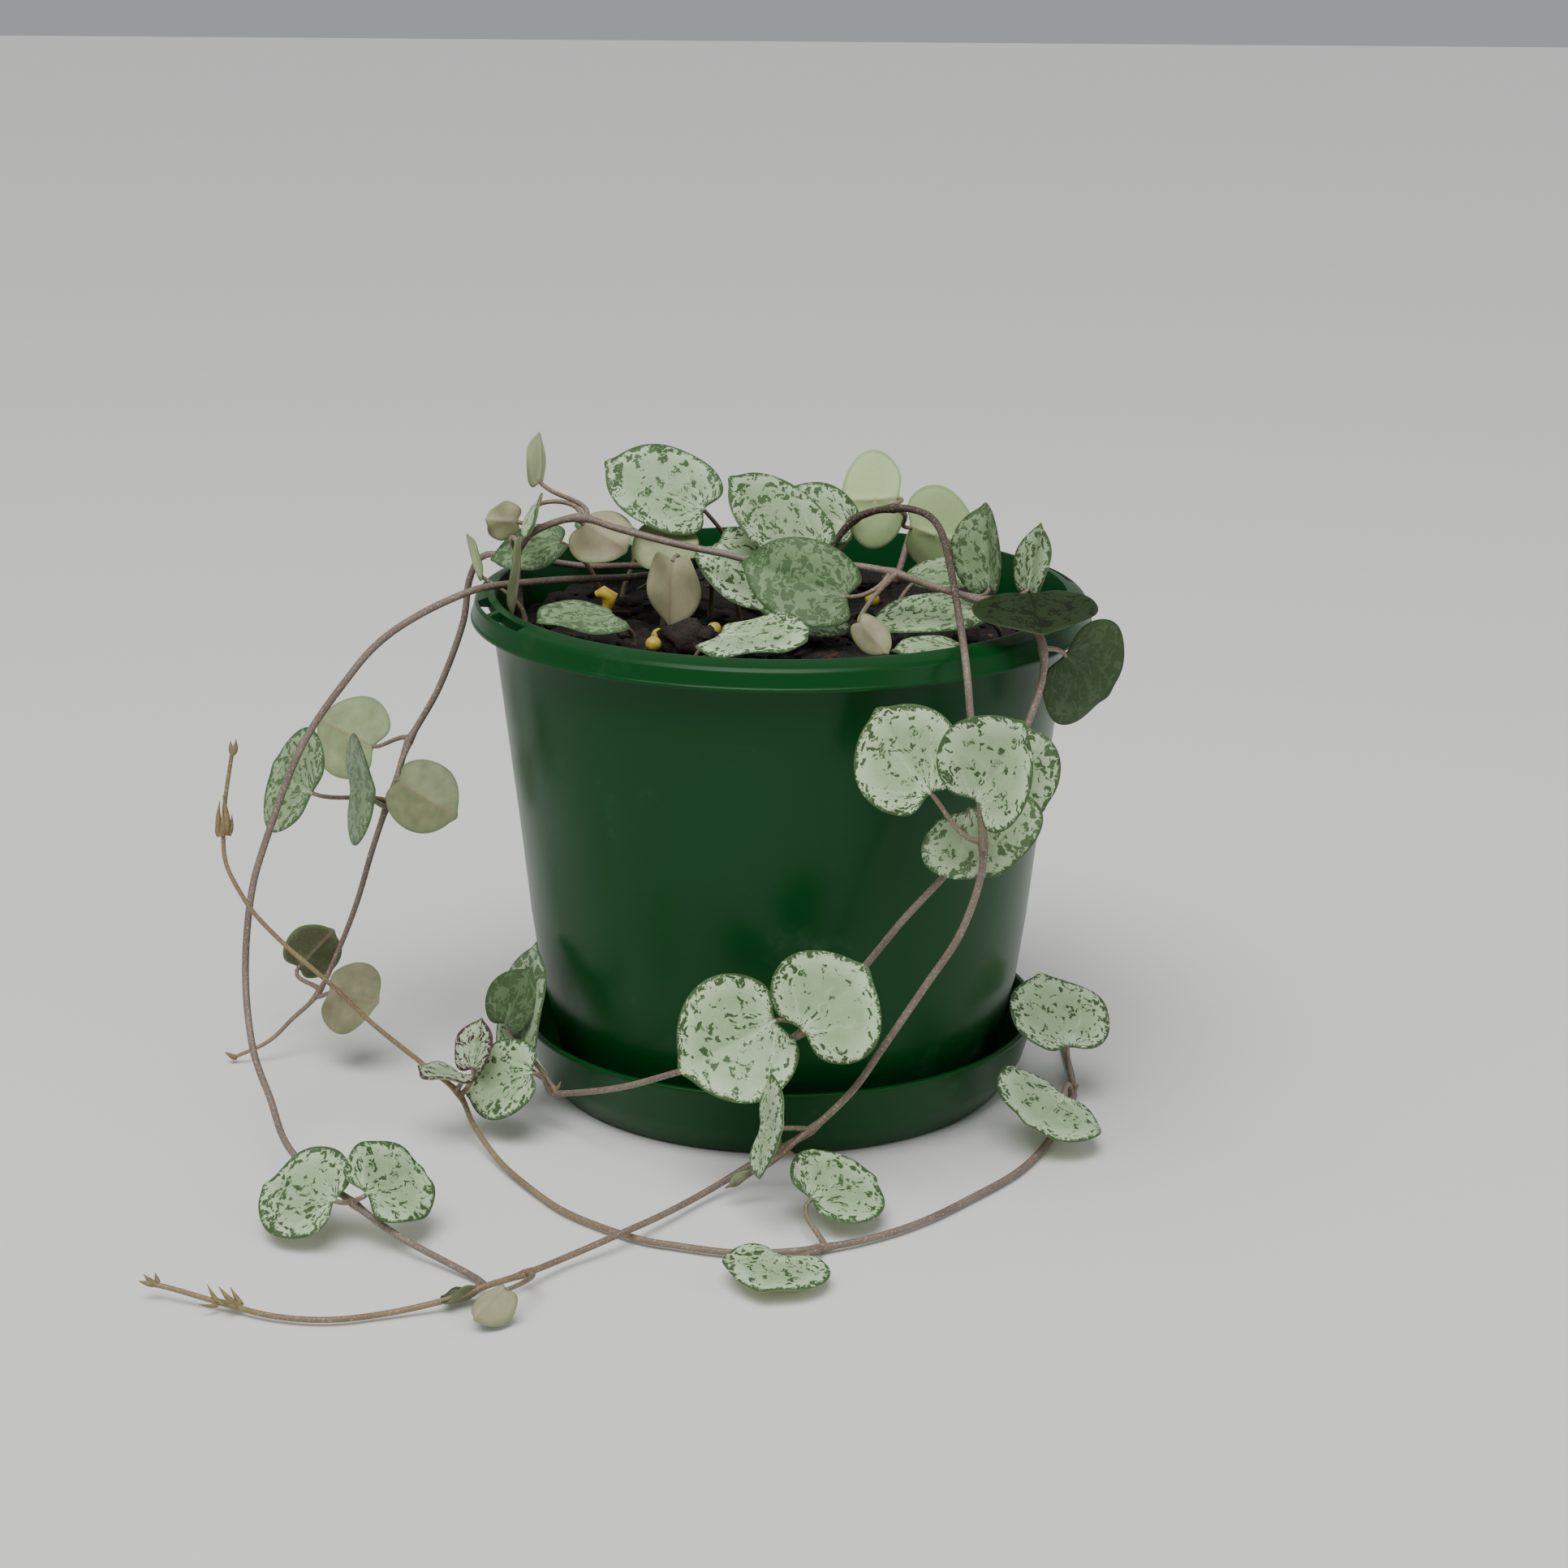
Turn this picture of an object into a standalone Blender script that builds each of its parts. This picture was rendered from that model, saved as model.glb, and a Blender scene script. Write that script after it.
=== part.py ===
"""A potted string of hearts: a green hanging pot on its clip-on saucer, with trailing stems
and heart-shaped leaves. World frame in metres: the origin is the centre of the saucer's flat
underside, +Z is up and -Y is the front. Lengths below are in millimetres."""

import math

import bmesh
import bpy
from mathutils import Vector

MM = 0.001

# Driving dimensions.
RIM_RADIUS = 60.0
POT_HEIGHT = 98.0
WALL = 1.2
SEGMENTS = 48
STEM_RADIUS = 0.8
LEAF_THICKNESS = 1.2
STALK_SPACING = 1.7
STALK_THICKNESS = 0.8
GAP = 0.3

# Saucer: flat underside, flared side, thin lip. It stands out from the pot's foot.
FOOT_RADIUS = RIM_RADIUS - 16.8
SAUCER_BASE_RADIUS = FOOT_RADIUS + 2.8
SAUCER_LIP_RADIUS = FOOT_RADIUS + 8.5
SAUCER_HEIGHT = 14.5
SAUCER_FLOOR = 1.5

# Pot body: the outer radius at each height above the table, as (height, radius).
POT_FOOT = SAUCER_FLOOR + GAP
POT_TOP = POT_FOOT + POT_HEIGHT - 0.6
BODY = (
    (POT_FOOT, FOOT_RADIUS),
    (12.5, RIM_RADIUS - 15.0),
    (22.0, RIM_RADIUS - 12.6),
    (35.0, RIM_RADIUS - 10.8),
    (POT_TOP - 45.2, RIM_RADIUS - 8.8),
    (POT_TOP - 11.2, RIM_RADIUS - 4.8),
)
RIM_INNER = RIM_RADIUS - 4.8
RIM_EDGE = POT_TOP - 0.9
RIM_BAND = 4.2
FLANGE = 1.2

# Hanger slots in the flange: start and end angle, anticlockwise from +X.
SLOTS = ((189.0, 199.5), (201.5, 214.0), (9.0, 39.0))
SLOT_INSIDE = RIM_INNER + 1.5
SLOT_WIDTH = 1.9

DRAIN_HOLES = 5
DRAIN_RADIUS = 4.0
DRAIN_CIRCLE = 32.0

MIX_TOP = POT_TOP - 6.7
MIX_CLEARANCE = 0.6

# The rim's radius and the pot's top for which the plant's points below were chosen.
PLACED_RIM = 60.0
PLACED_TOP = 99.2


def placed(point):
    """A point of the plant, moved with the rim that the stems hang over if the pot changes."""
    x, y, z = point
    out = 1.0 + (RIM_RADIUS - PLACED_RIM) / max(math.hypot(x, y), PLACED_RIM)
    lift = (POT_TOP - PLACED_TOP) * min(1.0, max(0.0, (z - 15.0) / 45.0))
    return Vector((x * out, y * out, z + lift))


# Each stem is a list of points on its centre line, from the mix to its tip.
VINES = {
    "vine_a": (
        (-17, 17, 93.5), (-23, 14, 98), (-32, 10, 98.5), (-42, 4, 99.5), (-50, -3, 100.4),
        (-56, -9, 101), (-60.5, -12, 100.2), (-68.5, -13, 96.5), (-76, -14, 91.5),
        (-82, -16, 85), (-91, -19, 72), (-98, -24, 54), (-100.5, -28, 44), (-101, -34, 31),
        (-98.5, -44, 20.5), (-94, -54, 14.5), (-88, -68, 9.5), (-74.5, -86, 7.5),
        (-66, -91, 3.5), (-53, -101, 1.2), (-50, -105, 1.2),
    ),
    "vine_b": (
        (6, 14, 93.5), (8, 8.5, 102), (14, 7.5, 111), (21.5, 2, 114.5), (27, -6, 115.3),
        (29.7, -14, 114), (31, -24, 110.5), (32, -38, 105), (32.5, -52, 101),
        (33, -57.5, 96.5), (33.7, -60.5, 89), (35, -63, 79.5), (36, -66.5, 68.5),
        (35.3, -68, 61.7), (32, -67.5, 51.7), (26.3, -66, 41.7), (19, -66, 30),
        (13.5, -65, 21), (6, -64, 12.8), (0.3, -64, 9), (-5, -62.5, 5.2),
        (-12, -67, 2.4), (-20, -78, 2.4), (-28, -89, 3.2), (-36, -96, 2.4),
        (-43, -104.5, 3), (-49, -111, 3.8), (-56, -113.5, 2.2), (-65.5, -116.5, 1.2),
        (-74.5, -119, 1.2), (-83.5, -118, 1.2), (-92, -114.5, 1.5), (-102, -110.5, 2.5),
        (-106, -109.5, 3),
    ),
    "vine_c": (
        (-51, 5, 93.5), (-51.2, 2, 102), (-50, -2, 108), (-45.5, -3, 111.5),
        (-38.5, -4, 113.5), (-31.5, -5, 111.7), (-20.5, -8, 109.5), (-11, -10, 108),
        (-5, -12, 107.3), (12, -16, 107.4), (21, -19, 106.6), (28, -24, 105.3),
        (36, -30, 104.3), (42.5, -36, 103.7), (46, -40, 101.5), (47.5, -42, 98),
        (47.5, -42.5, 92.5), (45, -46, 85.5), (41, -50, 77.5), (34, -57, 65.3),
        (29, -59, 59.5), (22.5, -58, 51.5), (16.5, -56.5, 43), (10.5, -56, 35),
        (4.5, -56.5, 29), (-5.5, -56.5, 24.5), (-18, -55, 20.5), (-27, -50.5, 16),
        (-34, -44.5, 12.3), (-42.5, -34.5, 7.5),
    ),
    "vine_d": (
        (24, 38, 93.5), (27, 45, 101), (30, 52, 101.5), (32.5, 56.5, 97), (34, 59, 80),
        (34, 58, 50), (36, 58, 20), (40, 56, 5), (47, 48, 1.3), (54, 35, 1.2),
        (57.5, 20, 1.2), (58.5, 8, 1.2), (58, -18.5, 1.4), (52, -39.5, 1.2),
        (45, -55, 1.2), (35, -68, 1.2), (26, -78, 1.2), (17, -85, 1.2), (8, -89.5, 1.3),
        (0, -91.3, 1.2), (-8, -91.5, 1.2), (-17, -89, 1.2), (-25.5, -85.5, 1.2),
        (-37.5, -75.5, 1.2), (-45.5, -64, 1.2), (-52, -53, 1.8), (-57.5, -42, 4),
        (-61, -36, 8.2), (-67.5, -36, 14), (-76.5, -37, 22.3), (-84.5, -38, 31),
        (-92, -38, 38), (-97.5, -38, 44), (-100.5, -38, 48.7), (-103, -38, 54.5),
        (-103.5, -37, 60), (-103, -36, 66.5), (-101.5, -35, 75.5),
    ),
    "vine_e": (
        (-24, 26, 93.5), (-27, 24, 97.5), (-39, 20, 98.5), (-50, 18, 100.4),
        (-56, 19, 101), (-60, 20.5, 100), (-62.5, 21, 95), (-64, 21, 86), (-69, 20, 73),
        (-75, 18, 62.5), (-77, 14, 56.5), (-79, 12, 51), (-82, 9, 42), (-85, 7, 32),
        (-88.5, 6, 23), (-93, 4, 13.5), (-98.5, 3, 8), (-103, 0, 4.3), (-110, -1, 1.2),
    ),
}

# Each leaf: the stem and the point of it that its stalk grows from (or the spot on the mix),
# where the stalk meets the blade, the way its tip points (compass angle from +X, rise), its
# roll about that line, length, width and the fold of its two halves, in mm and degrees.
LEAVES = {
    "leaf_a1": ("vine_a", 17, (-77.5, -87.5, 8.7), 145, -5, -40, 17.5, 19, 8),
    "leaf_a2": ("vine_a", 17, (-72.2, -88.8, 10.3), 55, 0, 40, 16, 18, 8),
    "leaf_b2": ("vine_b", 3, (25.5, 20, 107), -30, -8, -80, 15.5, 20.5, 8),
    "leaf_b1": ("vine_b", 2, (23.2, 22.5, 112.2), -162, 0, 98, 12.5, 20, 8),
    "leaf_b3": ("vine_b", 1, (13.5, 14, 108.5), 180, 22, -48, 15.5, 13, 5),
    "leaf_b4": ("vine_b", 12, (26.5, -66, 77.7), 145, 50, -72, 18, 21, 8),
    "leaf_b5": ("vine_b", 12, (34, -77, 79.5), -39, 59, 87, 19, 22, 23),
    "leaf_b6": ("vine_b", 18, (-3, -74, 17.5), -65, 22, 72, 11, 19, 8),
    "leaf_b7": ("vine_b", 25, (-45, -117, 6.2), -135, -25, 155, 8, 9, 40),
    "leaf_c1": ("vine_c", 29, (-50, -29, 12.5), 60, 72, -28, 23, 17.5, 10),
    "leaf_c2": ("vine_c", 29, (-46.5, -39, 13.7), 160, -24, -50, 15.5, 16.5, 8),
    "leaf_c3": ("vine_c", 24, (-0.5, -61, 33), -160, -22, -58, 20, 25, 14),
    "leaf_c4": ("vine_c", 24, (4.5, -68, 33.7), -5, 48, 75, 17, 23, 10),
    "leaf_c5": ("vine_c", 18, (38.3, -54, 82.7), -3, -53, 76, 15, 18, 5),
    "leaf_c6": ("vine_c", 19, (34, -60, 73), -45, -55, 45, 13, 23, 5),
    "leaf_c7": ("vine_c", 14, (45.5, -34, 106), -85, -13, 2, 15.5, 23, 3),
    "leaf_c8": ("vine_c", 15, (52, -35, 95.2), 30, -42, 88, 14, 22, 6),
    "leaf_c9": ("vine_c", 12, (39, -24, 105), 108, 76, -75, 16, 17, 25),
    "leaf_c10": ("vine_c", 12, (46, -24, 104.5), 30, 78, 0, 13, 11, 10),
    "leaf_c11": ("vine_c", 10, (12.5, -21, 102.3), 177, 18, -62, 21, 17, 8),
    "leaf_c12": ("vine_c", 10, (14, -40, 102.5), -55, -25, -135, 10, 7, 25),
    "leaf_c13": ("vine_c", 4, (-38.5, 4, 110.3), -40, -17, -142, 12, 13, 8),
    "leaf_c14": ("vine_c", 4, (-47, -0.5, 115.5), -100, -35, 60, 9, 10, 10),
    "leaf_c15": ("vine_c", 4, (-47, 4.5, 118.3), 90, 80, -105, 10, 11, 10),
    "leaf_c16": ("vine_c", 2, (-49.5, -13, 110.8), -120, -78, 60, 15, 14, 6),
    "leaf_c17": ("vine_c", 2, (-51.7, 11.6, 109.2), -140, 10, 85, 8, 8, 8),
    "leaf_d1": ("vine_d", 12, (56.5, -23, 13.5), 112, 38, 8, 17, 22.5, 8),
    "leaf_d2": ("vine_d", 12, (54.5, -35, 8), -120, 0, -25, 17, 22.5, 6),
    "leaf_d3": ("vine_d", 18, (6, -80, 6.5), 40, 0, 24, 15.5, 19.5, 8),
    "leaf_d4": ("vine_d", 18, (1.5, -96.5, 3), -105, 0, -5, 15.5, 19, 6),
    "leaf_d5": ("vine_d", 27, (-58.3, -35.5, 12.9), 65, 65, -15, 10, 10, 15),
    "leaf_d6": ("vine_d", 27, (-60, -38, 13), -130, 15, -5, 11, 11, 5),
    "leaf_e1": ("vine_e", 9, (-82.5, 22, 60), 150, 15, 120, 15, 18, 8),
    "leaf_e2": ("vine_e", 9, (-76.2, 8, 57.1), -28, -22, -120, 15, 15, 12),
    "leaf_e3": ("vine_e", 11, (-91.5, -5, 58.3), 128, 10, -66, 15, 22.5, 10),
    "leaf_e4": ("vine_e", 11, (-84, -5, 59.3), -65, 15, 85, 16, 22, 6),
    "leaf_e5": ("vine_e", 15, (-98, 10.5, 16.5), -10, 48, -80, 12, 11.5, 8),
    "leaf_e6": ("vine_e", 15, (-90, -1, 15.5), -30, 0, -128, 12.5, 15.5, 8),
    "leaf_p1": ("mix", (-6, 18, 92.5), (-15, 7, 113), 165, 22, -40, 22, 20, 6),
    "leaf_p2": ("mix", (-23, 2, 92.5), (-22.5, -1.5, 103.8), 90, 38, 178, 13, 13, 6),
    "leaf_p3": ("mix", (10, 6, 92.5), (6.5, -3, 107), 168, 38, -35, 22, 18, 8),
    "leaf_p4": ("mix", (-8, 4, 92.5), (-12.5, -1, 108), -32, -36, 25, 19, 17, 6),
    "leaf_p5": ("mix", (-19, 2, 92.5), (-20.5, -14.5, 108), 110, -84, 50, 14, 12, 8),
    "leaf_p6": ("mix", (-28, -13, 92.5), (-31.5, -19, 97.5), -150, 4, -8, 16, 18, 5),
    "leaf_p7": ("mix", (-16, -28, 92.5), (-11.5, -32, 97.5), -35, 5, 10, 20, 21, 4),
    "leaf_p8": ("mix", (-8, -10, 92.5), (-2, -18, 97), 17, -8, 10, 16, 15, 4),
    "leaf_p9": ("mix", (42, -14, 92.5), (37, -20, 99.5), 175, -8, -10, 21, 20, 6),
    "leaf_p10": ("mix", (36, -36, 92.5), (32, -38, 97), 177, -2, -5, 12, 12, 4),
    "leaf_p11": ("mix", (-35, 12, 92.5), (-43, 9, 106), -177, -15, -28, 14.5, 13, 5),
}

GREEN_POT = (0.012, 0.09, 0.035)
LEAF_SILVER = (0.42, 0.52, 0.38)
LEAF_UNDER = (0.40, 0.42, 0.30)
STEM_MAUVE = (0.22, 0.14, 0.11)
MIX_DARK = (0.02, 0.015, 0.012)


def material(name, colour, roughness):
    made = bpy.data.materials.new(name)
    made.use_nodes = True
    shader = made.node_tree.nodes["Principled BSDF"]
    shader.inputs["Base Color"].default_value = (*colour, 1.0)
    shader.inputs["Roughness"].default_value = roughness
    return made


def finish(name, mesh, colour, roughness):
    """Turns a bmesh in millimetres into a named object in metres."""
    bmesh.ops.scale(mesh, vec=(MM, MM, MM), verts=mesh.verts)
    bmesh.ops.recalc_face_normals(mesh, faces=mesh.faces)
    if mesh.calc_volume(signed=True) < 0:
        bmesh.ops.reverse_faces(mesh, faces=mesh.faces)
    data = bpy.data.meshes.new(name)
    mesh.to_mesh(data)
    mesh.free()
    made = bpy.data.objects.new(name, data)
    bpy.context.scene.collection.objects.link(made)
    data.materials.append(material(name + "_finish", colour, roughness))
    return made


def lathe(profile, segments=SEGMENTS):
    """Turns a closed (height, radius) outline round the vertical axis. Radius 0 is the axis."""
    mesh = bmesh.new()
    rings = []
    for height, radius in profile:
        if radius == 0:
            rings.append([mesh.verts.new((0, 0, height))] * segments)
            continue
        ring = []
        for step in range(segments):
            angle = math.tau * step / segments
            ring.append(mesh.verts.new((radius * math.cos(angle), radius * math.sin(angle), height)))
        rings.append(ring)
    closed = profile[0][1] != 0
    count = len(rings) if closed else len(rings) - 1
    for index in range(count):
        low, high = rings[index], rings[(index + 1) % len(rings)]
        for step in range(segments):
            after = (step + 1) % segments
            corners = [low[step], low[after], high[after], high[step]]
            corners = list(dict.fromkeys(corners))
            mesh.faces.new(corners)
    return mesh


def cut(target, cutter_mesh, name):
    cutter = finish(name, cutter_mesh, GREEN_POT, 0.5)
    cutter.hide_render = True
    cutter.display_type = "WIRE"
    boolean = target.modifiers.new(name, "BOOLEAN")
    boolean.solver = "EXACT"
    boolean.operation = "DIFFERENCE"
    boolean.object = cutter


def sector(inner, outer, start, end, low, high):
    """A block of a ring between two angles in degrees."""
    mesh = bmesh.new()
    steps = max(2, round((end - start) / 3.0))
    columns = []
    for step in range(steps + 1):
        angle = math.radians(start + (end - start) * step / steps)
        along = Vector((math.cos(angle), math.sin(angle), 0))
        corners = ((inner, low), (outer, low), (outer, high), (inner, high))
        columns.append([mesh.verts.new(along * r + Vector((0, 0, z))) for r, z in corners])
    for first, second in zip(columns, columns[1:]):
        for corner in range(4):
            other = (corner + 1) % 4
            mesh.faces.new((first[corner], second[corner], second[other], first[other]))
    mesh.faces.new(columns[0])
    mesh.faces.new(columns[-1][::-1])
    return mesh


def build_saucer():
    inner_base = SAUCER_BASE_RADIUS - WALL - 0.6
    middle = (SAUCER_BASE_RADIUS + SAUCER_LIP_RADIUS) / 2 + 0.6
    profile = (
        (0.0, 0),
        (0.0, SAUCER_BASE_RADIUS - 1.0),
        (0.8, SAUCER_BASE_RADIUS),
        (SAUCER_HEIGHT * 0.45, middle),
        (SAUCER_HEIGHT - 1.2, SAUCER_LIP_RADIUS - 0.3),
        (SAUCER_HEIGHT - 0.6, SAUCER_LIP_RADIUS),
        (SAUCER_HEIGHT, SAUCER_LIP_RADIUS - 0.2),
        (SAUCER_HEIGHT, SAUCER_LIP_RADIUS - WALL),
        (SAUCER_HEIGHT * 0.45, middle - WALL),
        (SAUCER_FLOOR, inner_base),
        (SAUCER_FLOOR, 0),
    )
    return finish("saucer", lathe(profile), GREEN_POT, 0.4)


def pot_profile():
    outside = list(BODY)
    flange_low = RIM_EDGE - FLANGE
    rim = [
        (flange_low - 0.2, RIM_INNER + 0.9),
        (flange_low, RIM_RADIUS - WALL),
        (RIM_EDGE - RIM_BAND, RIM_RADIUS - WALL),
        (RIM_EDGE - RIM_BAND, RIM_RADIUS),
        (RIM_EDGE - 0.5, RIM_RADIUS),
        (RIM_EDGE, RIM_RADIUS - 0.5),
        (POT_TOP, RIM_INNER + 0.6),
        (POT_TOP, RIM_INNER),
    ]
    inside = [(height, radius - WALL) for height, radius in reversed(BODY[1:])]
    floor = POT_FOOT + 2.0
    foot = BODY[0][1]
    return (
        [(POT_FOOT + 1.0, 0), (POT_FOOT + 1.0, foot - 5), (POT_FOOT, foot - 4.4)]
        + outside + rim + inside + [(floor, foot - 1.0), (floor, 0)]
    )


def build_pot():
    pot = finish("pot", lathe(pot_profile()), GREEN_POT, 0.35)
    for index, (start, end) in enumerate(SLOTS):
        low, high = RIM_EDGE - 3.0, POT_TOP + 2.0
        block = sector(SLOT_INSIDE, SLOT_INSIDE + SLOT_WIDTH, start, end, low, high)
        cut(pot, block, f"slot_cutter_{index}")
    for index in range(DRAIN_HOLES):
        angle = math.tau * (index + 0.2) / DRAIN_HOLES
        drill = lathe(((0.5, 0), (0.5, DRAIN_RADIUS), (6.0, DRAIN_RADIUS), (6.0, 0)), 12)
        along = (DRAIN_CIRCLE * math.cos(angle), DRAIN_CIRCLE * math.sin(angle), 0)
        bmesh.ops.translate(drill, vec=along, verts=drill.verts)
        cut(pot, drill, f"drain_cutter_{index}")
    return pot


def build_mix():
    """The potting mix fills the pot to just under the rim, with a low, uneven top."""
    floor = POT_FOOT + 2.0 + GAP
    inner = [(height, radius - WALL - MIX_CLEARANCE) for height, radius in BODY[1:]]
    lip_radius = inner[-1][1] + 0.4
    profile = (
        [(floor, 0), (floor, BODY[0][1] - 2.4)] + inner
        + [(MIX_TOP - 1.0, lip_radius), (MIX_TOP - 0.4, 40), (MIX_TOP, 22), (MIX_TOP, 0)]
    )
    return finish("potting_mix", lathe(profile, 32), MIX_DARK, 0.9)


def curve_point(points, place):
    """A Catmull-Rom curve through the points. place 0 is the first point, 1 the second."""
    index = min(int(place), len(points) - 2)
    t = place - index
    p1, p2 = points[index], points[index + 1]
    p0 = points[index - 1] if index > 0 else p1 * 2 - p2
    p3 = points[index + 2] if index + 2 < len(points) else p2 * 2 - p1
    return 0.5 * (
        p1 * 2 + (p2 - p0) * t
        + (p0 * 2 - p1 * 5 + p2 * 4 - p3) * t * t
        + (p1 * 3 - p0 - p2 * 3 + p3) * t * t * t
    )


def vine_points(name):
    return [placed(point) for point in VINES[name]]


def tube(mesh, centres, radii, sides, first_side, capped_start=True):
    """Skins a round tube along the centres, turning its ring as little as it can."""
    rings = []
    side = first_side
    for index, centre in enumerate(centres):
        before = centres[max(index - 1, 0)]
        after = centres[min(index + 1, len(centres) - 1)]
        along = (after - before).normalized()
        side = (side - along * side.dot(along)).normalized()
        up = along.cross(side)
        ring = []
        for step in range(sides):
            angle = math.tau * (step + 0.5) / sides
            offset = side * math.cos(angle) + up * math.sin(angle)
            ring.append(mesh.verts.new(centre + offset * radii[index]))
        rings.append(ring)
    for low, high in zip(rings, rings[1:]):
        for step in range(sides):
            after = (step + 1) % sides
            mesh.faces.new((low[step], low[after], high[after], high[step]))
    if capped_start:
        mesh.faces.new(rings[0][::-1])
    mesh.faces.new(rings[-1])
    return rings


def stem_radius(name, share):
    """Stems taper a little, and the growing ends of the free ones are thin."""
    slim = {"vine_d": 0.45, "vine_e": 0.45, "vine_b": 0.35}.get(name, 0.15)
    return STEM_RADIUS * (1.0 - slim * share ** 3)


def build_vine(name):
    points = vine_points(name)
    centres = []
    for index in range(len(points) - 1):
        pieces = max(1, round((points[index + 1] - points[index]).length / 6.0))
        for piece in range(pieces):
            centres.append(curve_point(points, index + piece / pieces))
    centres.append(points[-1])
    radii = [stem_radius(name, index / (len(centres) - 1)) for index in range(len(centres))]
    mesh = bmesh.new()
    tube(mesh, centres, radii, 6, Vector((0.3, 0.5, 0.8)))
    return finish(name, mesh, STEM_MAUVE, 0.6)


# Half of a leaf's outline, as angles from the tip round to the notch at the stalk.
HALF_OUTLINE = (0.22, 0.55, 0.9, 1.25, 1.6, 1.95, 2.3, 2.6, 2.85, 3.07)
NOTCH_DEPTH = 0.16
TIP_LENGTH = 0.05


def outline_point(angle, length, width):
    """A heart: two half ellipses, drawn in at the notch and drawn out at the tip."""
    middle = 0.40 * length
    notch = NOTCH_DEPTH * length
    tip = TIP_LENGTH * length
    cosine = math.cos(angle)
    x = width / 2 * math.sin(angle) * (1 - 0.1 * max(cosine, 0) ** 2)
    reach = length - tip - middle if cosine > 0 else middle + notch
    y = middle + reach * cosine
    y += notch * math.exp(-(((math.pi - abs(angle)) / 0.36) ** 2))
    y += tip * math.exp(-((angle / 0.16) ** 2))
    return x, y


def leaf_frame(heading, rise, roll):
    """The side, tip and upward directions of a leaf."""
    heading, rise, roll = math.radians(heading), math.radians(rise), math.radians(roll)
    flat = Vector((math.cos(heading), math.sin(heading), 0))
    tip = flat * math.cos(rise) + Vector((0, 0, math.sin(rise)))
    up = Vector((0, 0, math.cos(rise))) - flat * math.sin(rise)
    side = tip.cross(up)
    up = up * math.cos(roll) + side * math.sin(roll)
    return tip.cross(up), tip, up


def stalk_end(name, source, spot, blade_base):
    """Where a stalk stops: just clear of the stem that it grows from, or of the mix."""
    if source == "mix":
        return placed(spot) + Vector((0, 0, GAP + 0.4)), Vector((0, 0, 1))
    points = vine_points(source)
    centre = points[spot]
    along = points[min(spot + 1, len(points) - 1)] - points[max(spot - 1, 0)]
    along.normalize()
    shared = [leaf for leaf, data in LEAVES.items() if data[:2] == (source, spot)]
    place = shared.index(name) - (len(shared) - 1) / 2
    centre += along * place * STALK_SPACING
    out = blade_base - centre
    sideways = out - along * out.dot(along)
    if sideways.length < 0.5:
        sideways = Vector((0, 0, 1)) - along * along.z
    sideways.normalize()
    return centre + sideways * (STEM_RADIUS + GAP + 0.2), sideways


def build_leaf(name):
    source, spot, base, heading, rise, roll, length, width, fold = LEAVES[name]
    side, tip, up = leaf_frame(heading, rise, roll)
    base = placed(base)
    slope = math.tan(math.radians(fold))
    narrow = math.cos(math.radians(fold))

    def at(x, y, height):
        lift = slope * (math.hypot(x, 1.5) - 1.5) + height
        return base + side * (x * narrow) + tip * y + up * lift

    angles = [-a for a in reversed(HALF_OUTLINE)] + [0.0] + list(HALF_OUTLINE)
    middle = 0.42 * length
    mesh = bmesh.new()
    layers = {}
    for face_side in (1, -1):
        rings = []
        for share in (0.55, 1.0):
            thick = LEAF_THICKNESS / 2 * (1.0 - 0.55 * share * share) * face_side
            ring = []
            for angle in angles:
                x, y = outline_point(angle, length, width)
                x, y = x * share, middle + (y - middle) * share
                ring.append(mesh.verts.new(at(x, y, thick)))
            rings.append(ring)
        centre = mesh.verts.new(at(0, middle, LEAF_THICKNESS / 2 * face_side))
        inner, outer = rings
        count = len(angles)
        for step in range(count):
            after = (step + 1) % count
            mesh.faces.new((centre, inner[step], inner[after]))
            mesh.faces.new((inner[step], outer[step], outer[after], inner[after]))
        layers[face_side] = outer
    top, bottom = layers[1], layers[-1]
    for step in range(count - 1):
        mesh.faces.new((top[step], top[step + 1], bottom[step + 1], bottom[step]))

    # The stalk leaves through the open side face at the notch, and bends to its end.
    end, outward = stalk_end(name, source, spot, base)
    reach = (end - base).length
    lean = math.copysign(min(3.0, reach * 0.25), (end - base).dot(up))
    controls = (
        base - tip * 0.4,
        base - tip * min(3.0, reach * 0.3) + up * lean,
        end + outward * reach * 0.35,
        end,
    )
    steps = 5
    last = [top[-1], top[0], bottom[0], bottom[-1]]
    frame_side = side
    for step in range(1, steps + 1):
        t = step / steps
        s = 1 - t
        centre = (
            controls[0] * s ** 3 + controls[1] * 3 * s * s * t
            + controls[2] * 3 * s * t * t + controls[3] * t ** 3
        )
        along = (
            (controls[1] - controls[0]) * s * s + (controls[2] - controls[1]) * 2 * s * t
            + (controls[3] - controls[2]) * t * t
        ).normalized()
        frame_side = (frame_side - along * frame_side.dot(along)).normalized()
        frame_up = along.cross(frame_side)
        half = STALK_THICKNESS / 2
        ring = [
            mesh.verts.new(centre + frame_side * half + frame_up * half),
            mesh.verts.new(centre - frame_side * half + frame_up * half),
            mesh.verts.new(centre - frame_side * half - frame_up * half),
            mesh.verts.new(centre + frame_side * half - frame_up * half),
        ]
        for corner in range(4):
            other = (corner + 1) % 4
            mesh.faces.new((last[corner], last[other], ring[other], ring[corner]))
        last = ring
    mesh.faces.new(last)
    return finish(name, mesh, LEAF_SILVER, 0.5)


for old in list(bpy.data.objects):
    bpy.data.objects.remove(old)

build_saucer()
build_pot()
build_mix()
for vine in VINES:
    build_vine(vine)
for leaf in LEAVES:
    build_leaf(leaf)
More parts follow.
